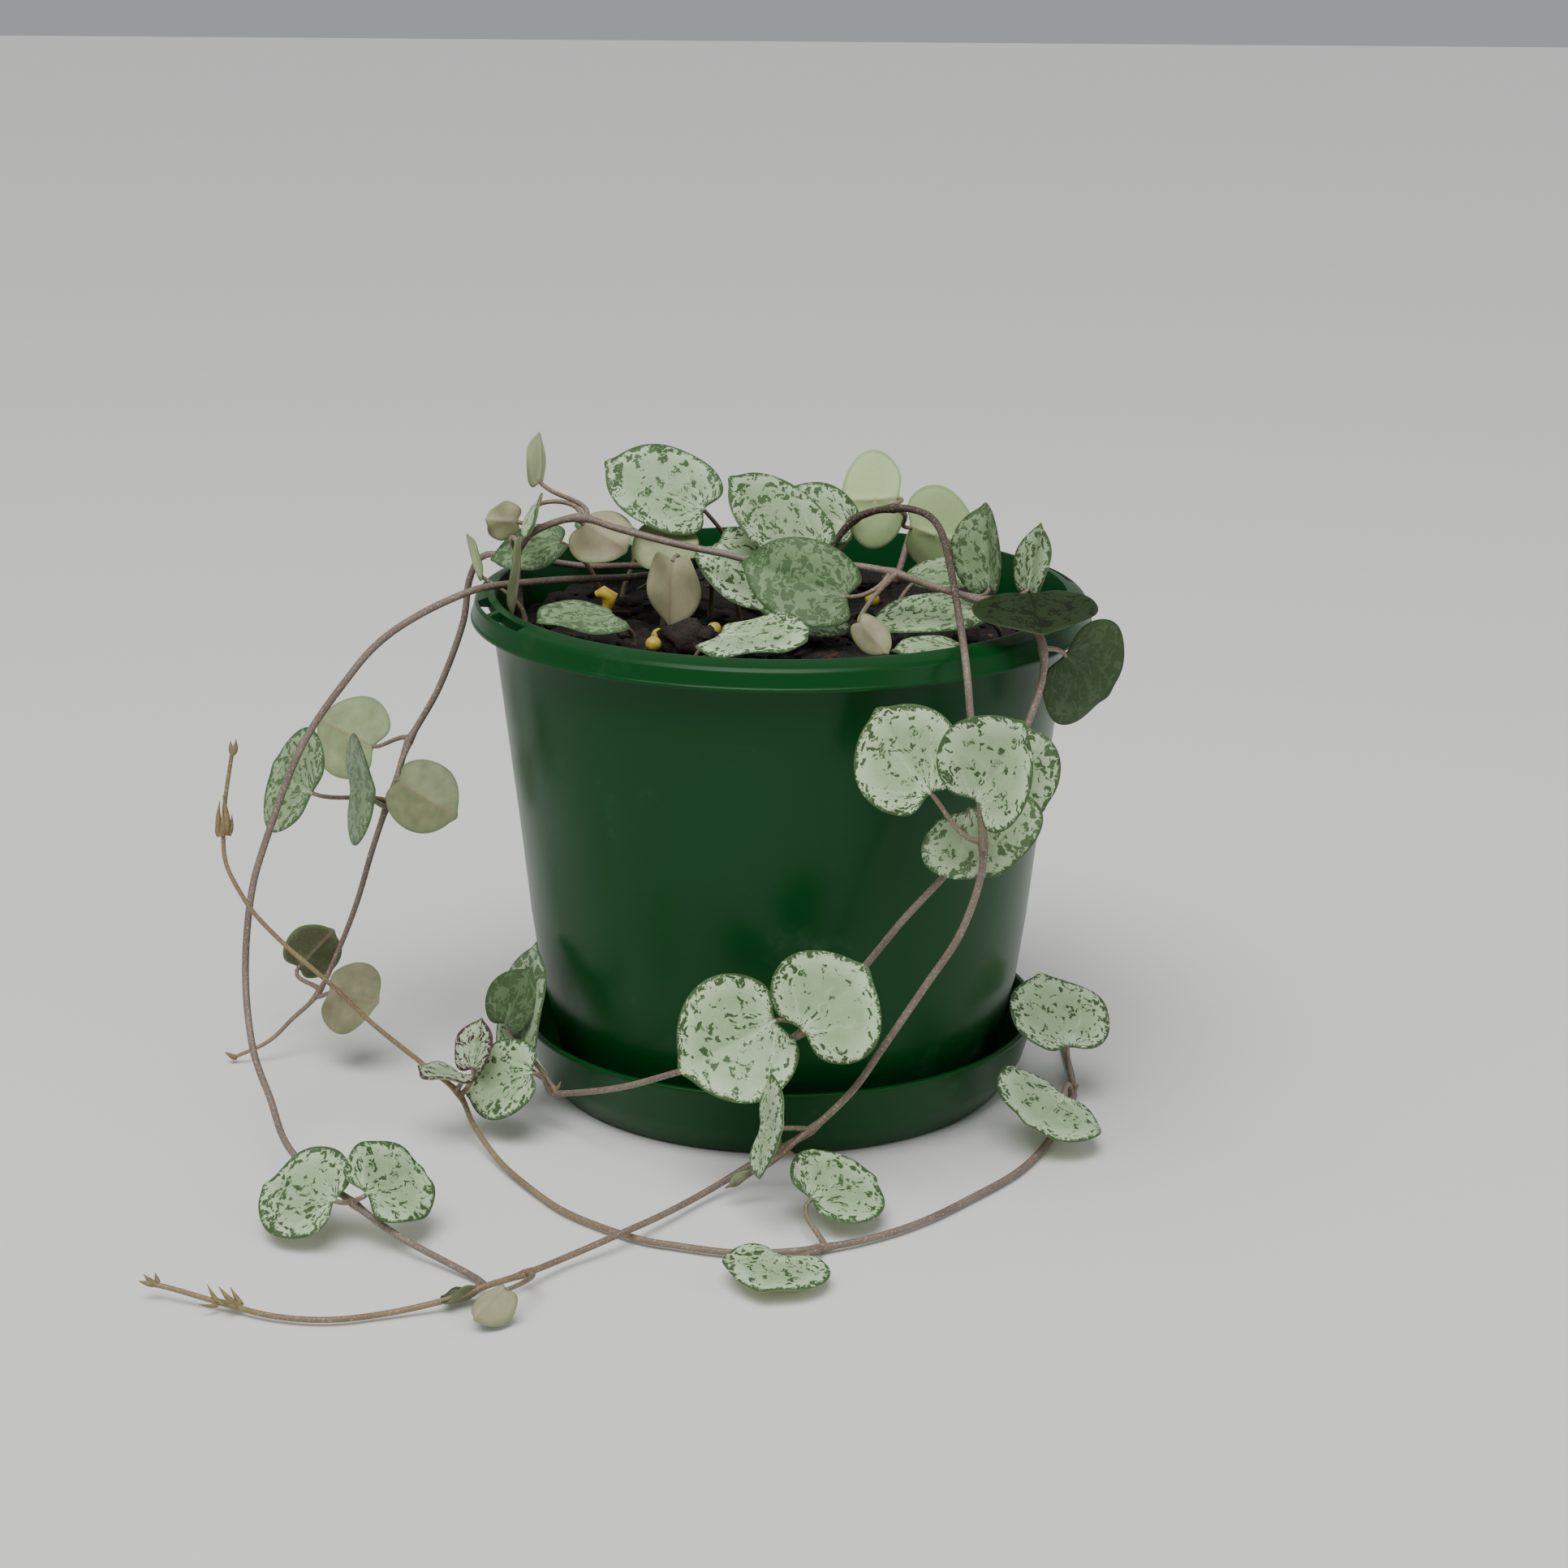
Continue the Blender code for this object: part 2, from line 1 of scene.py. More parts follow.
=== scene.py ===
# %% [markdown]
# # A potted string of hearts
# A string of hearts is a trailing plant from southern Africa. Thin stems carry pairs of
# heart-shaped leaves, and the leaves are marbled in silver on dark green. This one stands in
# a green plastic hanging pot with a clip-on saucer. Each cell below builds one piece or one
# finish around a fixed model of the plant, so that nothing moves from its place.

# %% Load the fixed model
import math
import random

import bmesh
import bpy
from mathutils import Matrix, Vector, noise


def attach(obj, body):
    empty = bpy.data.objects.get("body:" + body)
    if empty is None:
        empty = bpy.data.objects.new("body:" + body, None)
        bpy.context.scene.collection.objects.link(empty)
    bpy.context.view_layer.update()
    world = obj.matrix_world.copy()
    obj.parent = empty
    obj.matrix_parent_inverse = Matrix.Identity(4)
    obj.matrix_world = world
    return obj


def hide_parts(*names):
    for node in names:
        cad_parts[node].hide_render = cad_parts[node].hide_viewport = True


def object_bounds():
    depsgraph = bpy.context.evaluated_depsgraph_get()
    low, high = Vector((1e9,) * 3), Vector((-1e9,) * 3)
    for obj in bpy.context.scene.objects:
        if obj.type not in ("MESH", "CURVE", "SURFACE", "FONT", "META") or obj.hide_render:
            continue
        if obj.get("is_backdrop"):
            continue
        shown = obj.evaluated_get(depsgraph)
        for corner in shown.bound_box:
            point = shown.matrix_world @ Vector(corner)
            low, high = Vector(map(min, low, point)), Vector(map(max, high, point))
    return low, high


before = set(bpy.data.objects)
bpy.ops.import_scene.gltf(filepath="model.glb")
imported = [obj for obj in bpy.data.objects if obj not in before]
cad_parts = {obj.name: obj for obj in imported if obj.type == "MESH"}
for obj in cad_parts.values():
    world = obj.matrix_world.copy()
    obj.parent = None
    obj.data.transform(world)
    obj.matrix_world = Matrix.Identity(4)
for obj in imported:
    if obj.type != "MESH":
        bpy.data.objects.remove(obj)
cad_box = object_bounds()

MM = 0.001
print("nodes in the model:", len(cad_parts))

# %% [markdown]
# ## Tools used in every cell
# Colours are easiest to choose as sRGB hex values, but shaders want linear numbers, so one
# function turns the first into the second. Node trees are built with one small helper that
# adds a node, sets its properties and fills or links its inputs in a single call.

# %% Colours, nodes and finished pieces
def linear(code):
    """An sRGB colour such as "8fae7c" as a linear RGBA colour."""
    parts = [int(code[place:place + 2], 16) / 255 for place in (0, 2, 4)]
    return (*[v / 12.92 if v <= 0.04045 else ((v + 0.055) / 1.055) ** 2.4 for v in parts], 1.0)


def add(tree, kind, inputs, **settings):
    """Adds a node with its settings. Each input takes a value, or a socket to link from."""
    node = tree.nodes.new(kind)
    for name, value in settings.items():
        setattr(node, name, value)
    for key, value in inputs.items():
        if isinstance(value, bpy.types.NodeSocket):
            tree.links.new(value, node.inputs[key])
        else:
            node.inputs[key].default_value = value
    return node


def new_material(name):
    """An empty material, its node tree and its shader."""
    made = bpy.data.materials.new(name)
    made.use_nodes = True
    shader = made.node_tree.nodes["Principled BSDF"]
    return made, made.node_tree, shader


def finished(name, mesh, materials, replaced=(), smooth_angle=40):
    """Turns a bmesh in millimetres into a piece at the origin that rides on the plant."""
    bmesh.ops.scale(mesh, vec=(MM, MM, MM), verts=mesh.verts)
    data = bpy.data.meshes.new(name)
    mesh.to_mesh(data)
    mesh.free()
    data.shade_smooth()
    data.set_sharp_from_angle(angle=math.radians(smooth_angle))
    piece = bpy.data.objects.new(name, data)
    bpy.context.scene.collection.objects.link(piece)
    for material in materials:
        data.materials.append(material)
    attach(piece, "root")
    if replaced:
        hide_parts(*replaced)
    return piece


def pour(target, part):
    """Adds one bmesh to another, so that each small part can be shaped by itself first."""
    data = bpy.data.meshes.new("part")
    part.to_mesh(data)
    part.free()
    target.from_mesh(data)
    bpy.data.meshes.remove(data)


# Node inputs and outputs that share a name are reached by number.
FACTOR, FIRST_COLOUR, SECOND_COLOUR, MIXED = 0, 6, 7, 2

# %% [markdown]
# ## The camera, the light and the table
# The plant is seen from a little above, from about 60 cm away, with a fairly long lens, so
# the pot's sides stay almost straight. The light is a large soft panel above and in front,
# with a weaker one on the right, over a plain pale table.

# %% Camera, lights and floor
CAMERA_PLACE = Vector((0, -0.6125, 0.2437))
CAMERA_DOWN = math.radians(16.742)
CAMERA_ROLL = math.radians(0.444)
CAMERA_TURN = math.radians(0.075)
LENS_MM = 74.53

forward = Vector((
    math.sin(CAMERA_TURN) * math.cos(CAMERA_DOWN),
    math.cos(CAMERA_TURN) * math.cos(CAMERA_DOWN),
    -math.sin(CAMERA_DOWN),
))
level_right = Vector((math.cos(CAMERA_TURN), -math.sin(CAMERA_TURN), 0))
level_up = level_right.cross(forward)
right = level_right * math.cos(CAMERA_ROLL) + level_up * math.sin(CAMERA_ROLL)
up = level_up * math.cos(CAMERA_ROLL) - level_right * math.sin(CAMERA_ROLL)

camera_data = bpy.data.cameras.new("camera")
camera_data.sensor_width = 36
camera_data.lens = LENS_MM
camera = bpy.data.objects.new("camera", camera_data)
bpy.context.scene.collection.objects.link(camera)
axes = Matrix((right, up, -forward)).transposed()
camera.matrix_world = Matrix.Translation(CAMERA_PLACE) @ axes.to_4x4()
bpy.context.scene.camera = camera


def soft_panel(name, place, target, size, watts):
    """A rectangular light that faces its target."""
    panel = bpy.data.lights.new(name, "AREA")
    panel.shape = "RECTANGLE"
    panel.size, panel.size_y = size
    panel.energy = watts
    lamp = bpy.data.objects.new(name, panel)
    bpy.context.scene.collection.objects.link(lamp)
    lamp.location = place
    lamp.rotation_euler = (Vector(target) - Vector(place)).to_track_quat("-Z", "Y").to_euler()


soft_panel("overhead_panel", (-0.15, -0.35, 1.0), (0, 0, 0.06), (0.9, 0.6), 5.5)
soft_panel("side_panel", (0.9, -0.6, 0.6), (0, 0, 0.06), (0.5, 0.5), 1.2)
# A very soft light from far away evens out the table behind the plant.
far_light = bpy.data.lights.new("far_light", "SUN")
far_light.energy = 1.5
far_light.angle = math.radians(40)
far_lamp = bpy.data.objects.new("far_light", far_light)
far_lamp.rotation_euler = Vector((0.15, 0.55, -1)).to_track_quat("-Z", "Y").to_euler()
bpy.context.scene.collection.objects.link(far_lamp)

world = bpy.data.worlds.new("studio")
bpy.context.scene.world = world
world.use_nodes = True
world.node_tree.nodes["Background"].inputs["Color"].default_value = linear("d9dcde")
world.node_tree.nodes["Background"].inputs["Strength"].default_value = 0.5

floor_material, tree, shader = new_material("pale_table")
shader.inputs["Base Color"].default_value = linear("e9e8e5")
shader.inputs["Roughness"].default_value = 0.85
floor_mesh = bmesh.new()
bmesh.ops.create_grid(floor_mesh, x_segments=1, y_segments=1, size=3)
floor_data = bpy.data.meshes.new("table_top")
floor_mesh.to_mesh(floor_data)
floor_mesh.free()
floor = bpy.data.objects.new("table_top", floor_data)
floor_data.materials.append(floor_material)
bpy.context.scene.collection.objects.link(floor)
floor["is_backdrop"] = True
print("camera", [round(v, 3) for v in camera.location])

# %% [markdown]
# ## The pot's plastic
# The pot is injection-moulded polypropylene, coloured bottle green all through. Fresh from the
# mould its skin is smooth and slightly waxy, so it has a soft shine. In use it gathers dust, dull
# patches of dried hard water and a few tiny scuffs. A slow noise gives the dull patches, and a
# fast one with a high threshold gives the scuffs. The dull patches change the roughness as well as
# the colour, because dust hides the shine.

# %% Moulded green polypropylene
def moulded_plastic(name, body_colour, dusty_colour, dust_high, dust_low):
    made, tree, shader = new_material(name)
    place = add(tree, "ShaderNodeTexCoord", {}).outputs["Object"]
    # Dull patches are 15 to 40 mm across.
    patches = add(tree, "ShaderNodeTexNoise", {"Vector": place, "Scale": 38.0, "Detail": 5.0,
                                               "Roughness": 0.62})
    dust = add(tree, "ShaderNodeMapRange", {"Value": patches.outputs["Fac"], 1: dust_low,
                                            2: dust_high}, interpolation_type="SMOOTHSTEP")
    fine = add(tree, "ShaderNodeTexNoise", {"Vector": place, "Scale": 900.0, "Detail": 2.0})
    grain = add(tree, "ShaderNodeMath", {0: dust.outputs[0], 1: fine.outputs["Fac"]},
                operation="MULTIPLY")
    tone = add(tree, "ShaderNodeMix", {FACTOR: grain.outputs[0], FIRST_COLOUR: linear(body_colour),
                                       SECOND_COLOUR: linear(dusty_colour)}, data_type="RGBA")
    # Scuffs and specks of lime are half a millimetre to a millimetre across.
    specks = add(tree, "ShaderNodeTexVoronoi", {"Vector": place, "Scale": 85.0})
    kept = add(tree, "ShaderNodeSeparateColor", {0: specks.outputs["Color"]})
    rare = add(tree, "ShaderNodeMath", {0: kept.outputs[0], 1: 0.9}, operation="GREATER_THAN")
    small = add(tree, "ShaderNodeMapRange", {"Value": specks.outputs["Distance"], 1: 0.07, 2: 0.03,
                                             3: 0.0, 4: 0.45})
    speck = add(tree, "ShaderNodeMath", {0: rare.outputs[0], 1: small.outputs[0]},
                operation="MULTIPLY")
    marked = add(tree, "ShaderNodeMix", {
        FACTOR: speck.outputs[0], FIRST_COLOUR: tone.outputs[MIXED],
        SECOND_COLOUR: linear("9fb5a2")}, data_type="RGBA")
    tree.links.new(marked.outputs[MIXED], shader.inputs["Base Color"])
    dull = add(tree, "ShaderNodeMapRange", {"Value": dust.outputs[0], 3: 0.30, 4: 0.5})
    tree.links.new(dull.outputs[0], shader.inputs["Roughness"])
    # The skin isn't quite flat: it waves by a few hundredths of a millimetre as it shrinks.
    waves = add(tree, "ShaderNodeTexNoise", {"Vector": place, "Scale": 120.0, "Detail": 2.0})
    bump = add(tree, "ShaderNodeBump", {"Height": waves.outputs["Fac"], "Strength": 0.12,
                                        "Distance": 0.0005})
    tree.links.new(bump.outputs[0], shader.inputs["Normal"])
    shader.inputs["IOR"].default_value = 1.49
    shader.inputs["Specular IOR Level"].default_value = 0.18
    return made


pot_plastic = moulded_plastic("moulded_polypropylene", "084019", "4a7356", 0.82, 0.60)
print("made", pot_plastic.name)

# %% [markdown]
# ## The pot and its saucer
# Both are thin shells of plastic, turned round the same axis. Their outline is drawn once, as
# heights and radii, and spun round the axis, which is how a turned shape is usually made.
# The sharp rings are then bevelled, because a moulded edge is never knife-sharp and the
# small round catches the light. The hanger's slots and the drain holes are cut afterwards.

# %% Sizes of the pot and saucer, in millimetres
RIM_RADIUS = 60.0
WALL = 1.2
POT_FOOT = 1.8
POT_TOP = 99.2
RIM_EDGE = POT_TOP - 0.9
RIM_INNER = RIM_RADIUS - 4.8
RIM_BAND = 4.2
FLANGE = 1.2
BODY = ((POT_FOOT, 43.2), (12.5, 45.0), (22.0, 47.4), (35.0, 49.2), (54.0, 51.2), (88.0, 55.2))
SLOTS = ((189.0, 199.5), (201.5, 214.0), (9.0, 39.0))
SLOT_INSIDE = RIM_INNER + 1.5
SLOT_WIDTH = 1.9
DRAIN_HOLES, DRAIN_RADIUS, DRAIN_CIRCLE = 5, 4.0, 32.0
SAUCER_BASE_RADIUS, SAUCER_LIP_RADIUS, SAUCER_HEIGHT, SAUCER_FLOOR = 46.0, 51.7, 14.5, 1.5
TURN_STEPS = 192


def spun(outline):
    """Spins an outline of (height, radius) points round the vertical axis."""
    mesh = bmesh.new()
    points = [mesh.verts.new((radius, 0, height)) for height, radius in outline]
    edges = [mesh.edges.new(pair) for pair in zip(points, points[1:])]
    bmesh.ops.spin(mesh, geom=points + edges, cent=(0, 0, 0), axis=(0, 0, 1), dvec=(0, 0, 0),
                   angle=math.tau, steps=TURN_STEPS, use_merge=True)
    bmesh.ops.remove_doubles(mesh, verts=mesh.verts, dist=0.001)
    bmesh.ops.recalc_face_normals(mesh, faces=mesh.faces)
    return mesh


def soften(mesh, width, angle):
    """Rounds the edges that turn by more than the angle."""
    sharp = [e for e in mesh.edges if len(e.link_faces) == 2 and e.calc_face_angle(0) > angle]
    bmesh.ops.bevel(mesh, geom=sharp, offset=width, offset_type="OFFSET", segments=2,
                    profile=0.5, affect="EDGES", clamp_overlap=True, material=-1)


def cut_out(piece, cutters):
    """Cuts the cutters' shapes out of a piece and keeps the result as its mesh."""
    for cutter in cutters:
        boolean = piece.modifiers.new(cutter.name, "BOOLEAN")
        boolean.solver = "EXACT"
        boolean.operation = "DIFFERENCE"
        boolean.object = cutter
    graph = bpy.context.evaluated_depsgraph_get()
    result = bpy.data.meshes.new_from_object(piece.evaluated_get(graph))
    piece.modifiers.clear()
    piece.data = result
    result.set_sharp_from_angle(angle=math.radians(40))
    for cutter in cutters:
        bpy.data.objects.remove(cutter)


def cutter_from(mesh, name):
    """Turns a bmesh in millimetres into an object that cuts another."""
    bmesh.ops.recalc_face_normals(mesh, faces=mesh.faces)
    bmesh.ops.scale(mesh, vec=(MM, MM, MM), verts=mesh.verts)
    data = bpy.data.meshes.new(name)
    mesh.to_mesh(data)
    mesh.free()
    made = bpy.data.objects.new(name, data)
    bpy.context.scene.collection.objects.link(made)
    return made


# %% The pot
flange_low = RIM_EDGE - FLANGE
inside = [(height, radius - WALL) for height, radius in reversed(BODY[1:])]
pot_outline = (
    [(POT_FOOT + 1.0, 0), (POT_FOOT + 1.0, 38.2), (POT_FOOT, 38.8)] + list(BODY)
    + [(flange_low - 0.2, RIM_INNER + 0.9), (flange_low, RIM_RADIUS - WALL),
       (RIM_EDGE - RIM_BAND, RIM_RADIUS - WALL), (RIM_EDGE - RIM_BAND, RIM_RADIUS),
       (RIM_EDGE - RIM_BAND + 0.6, RIM_RADIUS), (RIM_EDGE - RIM_BAND + 0.8, RIM_RADIUS - 0.25),
       (RIM_EDGE - 0.7, RIM_RADIUS - 0.85), (RIM_EDGE, RIM_RADIUS - 1.5),
       (POT_TOP, RIM_INNER + 0.6), (POT_TOP, RIM_INNER)]
    + inside + [(POT_FOOT + 2.0, 42.2), (POT_FOOT + 2.0, 0)]
)
pot_mesh = spun(pot_outline)
soften(pot_mesh, 0.22, math.radians(28))
pot = finished("green_pot", pot_mesh, [pot_plastic], ["pot"])

cutters = []
for number, (start, end) in enumerate(SLOTS):
    block = bmesh.new()
    low, high = RIM_EDGE - 3.0, POT_TOP + 2.0
    corners = ((SLOT_INSIDE, low), (SLOT_INSIDE + SLOT_WIDTH, low),
               (SLOT_INSIDE + SLOT_WIDTH, high), (SLOT_INSIDE, high))
    face = block.faces.new([block.verts.new((radius, 0, height)) for radius, height in corners])
    bmesh.ops.rotate(block, verts=block.verts, cent=(0, 0, 0),
                     matrix=Matrix.Rotation(math.radians(start), 3, "Z"))
    bmesh.ops.spin(block, geom=[face] + face.edges[:] + face.verts[:], cent=(0, 0, 0),
                   axis=(0, 0, 1), dvec=(0, 0, 0), angle=math.radians(end - start), steps=16)
    cutters.append(cutter_from(block, f"slot_{number}"))
for number in range(DRAIN_HOLES):
    drill = bmesh.new()
    bmesh.ops.create_cone(drill, cap_ends=True, segments=32, radius1=DRAIN_RADIUS,
                          radius2=DRAIN_RADIUS, depth=5.5)
    angle = math.tau * (number + 0.2) / DRAIN_HOLES
    bmesh.ops.translate(drill, verts=drill.verts, vec=(
        DRAIN_CIRCLE * math.cos(angle), DRAIN_CIRCLE * math.sin(angle), 3.25))
    cutters.append(cutter_from(drill, f"drain_{number}"))
cut_out(pot, cutters)
print("pot faces", len(pot.data.polygons))

# %% The saucer
middle = (SAUCER_BASE_RADIUS + SAUCER_LIP_RADIUS) / 2 + 0.6
saucer_mesh = spun([
    (0.0, 0), (0.0, SAUCER_BASE_RADIUS - 1.0), (0.8, SAUCER_BASE_RADIUS),
    (SAUCER_HEIGHT * 0.45, middle), (SAUCER_HEIGHT - 1.2, SAUCER_LIP_RADIUS - 0.3),
    (SAUCER_HEIGHT - 0.6, SAUCER_LIP_RADIUS), (SAUCER_HEIGHT, SAUCER_LIP_RADIUS - 0.2),
    (SAUCER_HEIGHT, SAUCER_LIP_RADIUS - WALL), (SAUCER_HEIGHT * 0.45, middle - WALL),
    (SAUCER_FLOOR, SAUCER_BASE_RADIUS - WALL - 0.6), (SAUCER_FLOOR, 0),
])
soften(saucer_mesh, 0.2, math.radians(28))
saucer = finished("green_saucer", saucer_mesh, [pot_plastic], ["saucer"])
print("saucer faces", len(saucer.data.polygons))

# %% [markdown]
# ## The potting mix
# The plant grows in a coarse, dark mix of composted bark and peat. Two things make it look
# real: a lumpy surface, and separate chips of bark that lie on it at all angles. The
# surface is a disc whose points are lifted by noise. The chips are small bevelled boxes,
# squashed and turned at random with a fixed seed.

# %% Dark bark and peat
def bark_material(name, dark, brown, brown_share):
    made, tree, shader = new_material(name)
    place = add(tree, "ShaderNodeTexCoord", {}).outputs["Object"]
    # Crumbs of peat are about half a millimetre, and pieces of bark are 3 to 8 mm.
    crumbs = add(tree, "ShaderNodeTexNoise", {"Vector": place, "Scale": 1500.0, "Detail": 4.0,
                                              "Roughness": 0.7})
    pieces = add(tree, "ShaderNodeTexNoise", {"Vector": place, "Scale": 180.0, "Detail": 3.0})
    both = add(tree, "ShaderNodeMath", {0: crumbs.outputs["Fac"], 1: pieces.outputs["Fac"]},
               operation="MULTIPLY")
    share = add(tree, "ShaderNodeMapRange", {"Value": both.outputs[0], 1: 0.2, 2: 0.45, 3: 0.0,
                                             4: brown_share})
    tone = add(tree, "ShaderNodeMix", {FACTOR: share.outputs[0], FIRST_COLOUR: linear(dark),
                                       SECOND_COLOUR: linear(brown)}, data_type="RGBA")
    tree.links.new(tone.outputs[MIXED], shader.inputs["Base Color"])
    bump = add(tree, "ShaderNodeBump", {"Height": crumbs.outputs["Fac"], "Strength": 0.8,
                                        "Distance": 0.0004})
    tree.links.new(bump.outputs[0], shader.inputs["Normal"])
    shader.inputs["Roughness"].default_value = 0.9
    return made


peat = bark_material("composted_peat", "0c0a09", "3a2c24", 0.7)
bark = bark_material("composted_bark", "14100e", "4a382c", 0.9)
brown_bark = bark_material("fresh_bark", "3a2418", "8a6038", 1.0)

# %% The surface of the mix
MIX_TOP = 92.5
MIX_RADIUS = 53.2
MIX_FLOOR = POT_FOOT + 2.3


def mix_height(x, y):
    """How high the mix stands above its mean level: lumps of bark over a slow swell."""
    swell = noise.noise(Vector((x * 0.05, y * 0.05, 3.0))) * 1.2
    lumps = noise.noise(Vector((x * 0.22, y * 0.22, 9.0))) * 1.5
    grit = noise.noise(Vector((x * 0.8, y * 0.8, 5.0))) * 0.7
    return swell + lumps + grit - 0.6


wall_outline = [(height, radius - WALL - 0.6) for height, radius in BODY[1:]]
top_rings = [(MIX_TOP - 0.8, MIX_RADIUS * share / 46) for share in range(46, -1, -1)]
mix_mesh = spun([(MIX_FLOOR, 0), (MIX_FLOOR, 40.8)] + wall_outline + top_rings)
for point in mix_mesh.verts:
    if point.co.z > MIX_TOP - 1.0:
        point.co.z += mix_height(point.co.x, point.co.y)
mix = finished("peat_surface", mix_mesh, [peat], ["potting_mix"])
print("mix faces", len(mix.data.polygons))

# %% Chips of bark
CHIP_COUNT = 420
CHIP_SIZES = (1.2, 1.6, 2.2, 3.0, 4.2)
FRESH_FROM = 0.93


def chip(mesh, dice, place, size, material_index):
    """One bevelled, squashed and turned box, added to a mesh."""
    box = bmesh.new()
    bmesh.ops.create_cube(box, size=1.0)
    bmesh.ops.bevel(box, geom=box.edges[:], offset=0.22, offset_type="OFFSET", segments=1,
                    profile=0.5, affect="EDGES", material=-1)
    for point in box.verts:
        point.co += Vector([dice.uniform(-0.1, 0.1) for _ in range(3)])
    stretch = Vector((size * dice.uniform(0.8, 1.5), size * dice.uniform(0.6, 1.0),
                      size * dice.uniform(0.3, 0.6)))
    turn = Matrix.Rotation(dice.uniform(0, math.tau), 3, "Z")
    tilt = Matrix.Rotation(dice.uniform(-0.5, 0.5), 3, "X")
    bmesh.ops.scale(box, vec=stretch, verts=box.verts)
    bmesh.ops.rotate(box, verts=box.verts, cent=(0, 0, 0), matrix=turn @ tilt)
    bmesh.ops.translate(box, verts=box.verts, vec=place)
    for face in box.faces:
        face.material_index = material_index
    pour(mesh, box)


dice = random.Random(11)
chips = bmesh.new()
for _ in range(CHIP_COUNT):
    reach = (MIX_RADIUS - 3) * math.sqrt(dice.random())
    angle = dice.uniform(0, math.tau)
    x, y = reach * math.cos(angle), reach * math.sin(angle)
    size = dice.choice(CHIP_SIZES)
    place = (x, y, MIX_TOP - 0.7 + mix_height(x, y))
    chip(chips, dice, place, size, int(dice.random() > FRESH_FROM))
finished("bark_chips", chips, [bark, brown_bark], smooth_angle=25)
print("bark chips laid")

# %% [markdown]
# ## The stems
# A string of hearts has wiry stems, about 1.5 mm thick. The skin of an older stem is
# mauve-brown with fine pale specks, and a growing end is thinner and more yellow. A stem is
# swollen a little at each node, where a pair of leaves is joined. The route of each stem is a
# short list of points, drawn into one smooth curve. A ring of points follows the curve and
# each ring is bridged to the next, which keeps full control of the thickness.

# %% Stem skin
stem_skin, tree, shader = new_material("stem_skin")
place = add(tree, "ShaderNodeTexCoord", {}).outputs["Object"]
age = add(tree, "ShaderNodeAttribute", {}, attribute_name="youth").outputs["Fac"]
# The specks are 0.1 to 0.2 mm, drawn at 0.3 mm so that they show.
specks = add(tree, "ShaderNodeTexNoise", {"Vector": place, "Scale": 2600.0, "Detail": 2.0})
slow = add(tree, "ShaderNodeTexNoise", {"Vector": place, "Scale": 140.0, "Detail": 2.0})
skin_tone = add(tree, "ShaderNodeMix", {FACTOR: age, FIRST_COLOUR: linear("7c6d61"),
                                        SECOND_COLOUR: linear("8a7752")}, data_type="RGBA")
old_share = add(tree, "ShaderNodeMapRange", {"Value": age, 1: -1.0, 2: 0.0, 3: 0.85, 4: 0.0})
dark_share = add(tree, "ShaderNodeMapRange", {"Value": slow.outputs["Fac"], 1: 0.35, 2: 0.7,
                                              3: 0.0, 4: 0.5})
pale_share = add(tree, "ShaderNodeMapRange", {"Value": specks.outputs["Fac"], 1: 0.55, 2: 0.68,
                                              3: 0.0, 4: 0.55})
for share, tint in ((old_share, "33271d"), (dark_share, "5a463d"), (pale_share, "b5a99b")):
    skin_tone = add(tree, "ShaderNodeMix", {
        FACTOR: share.outputs[0], FIRST_COLOUR: skin_tone.outputs[MIXED],
        SECOND_COLOUR: linear(tint)}, data_type="RGBA")
tree.links.new(skin_tone.outputs[MIXED], shader.inputs["Base Color"])
bump = add(tree, "ShaderNodeBump", {"Height": specks.outputs["Fac"], "Strength": 0.3,
                                    "Distance": 0.0002})
tree.links.new(bump.outputs[0], shader.inputs["Normal"])
shader.inputs["Roughness"].default_value = 0.55

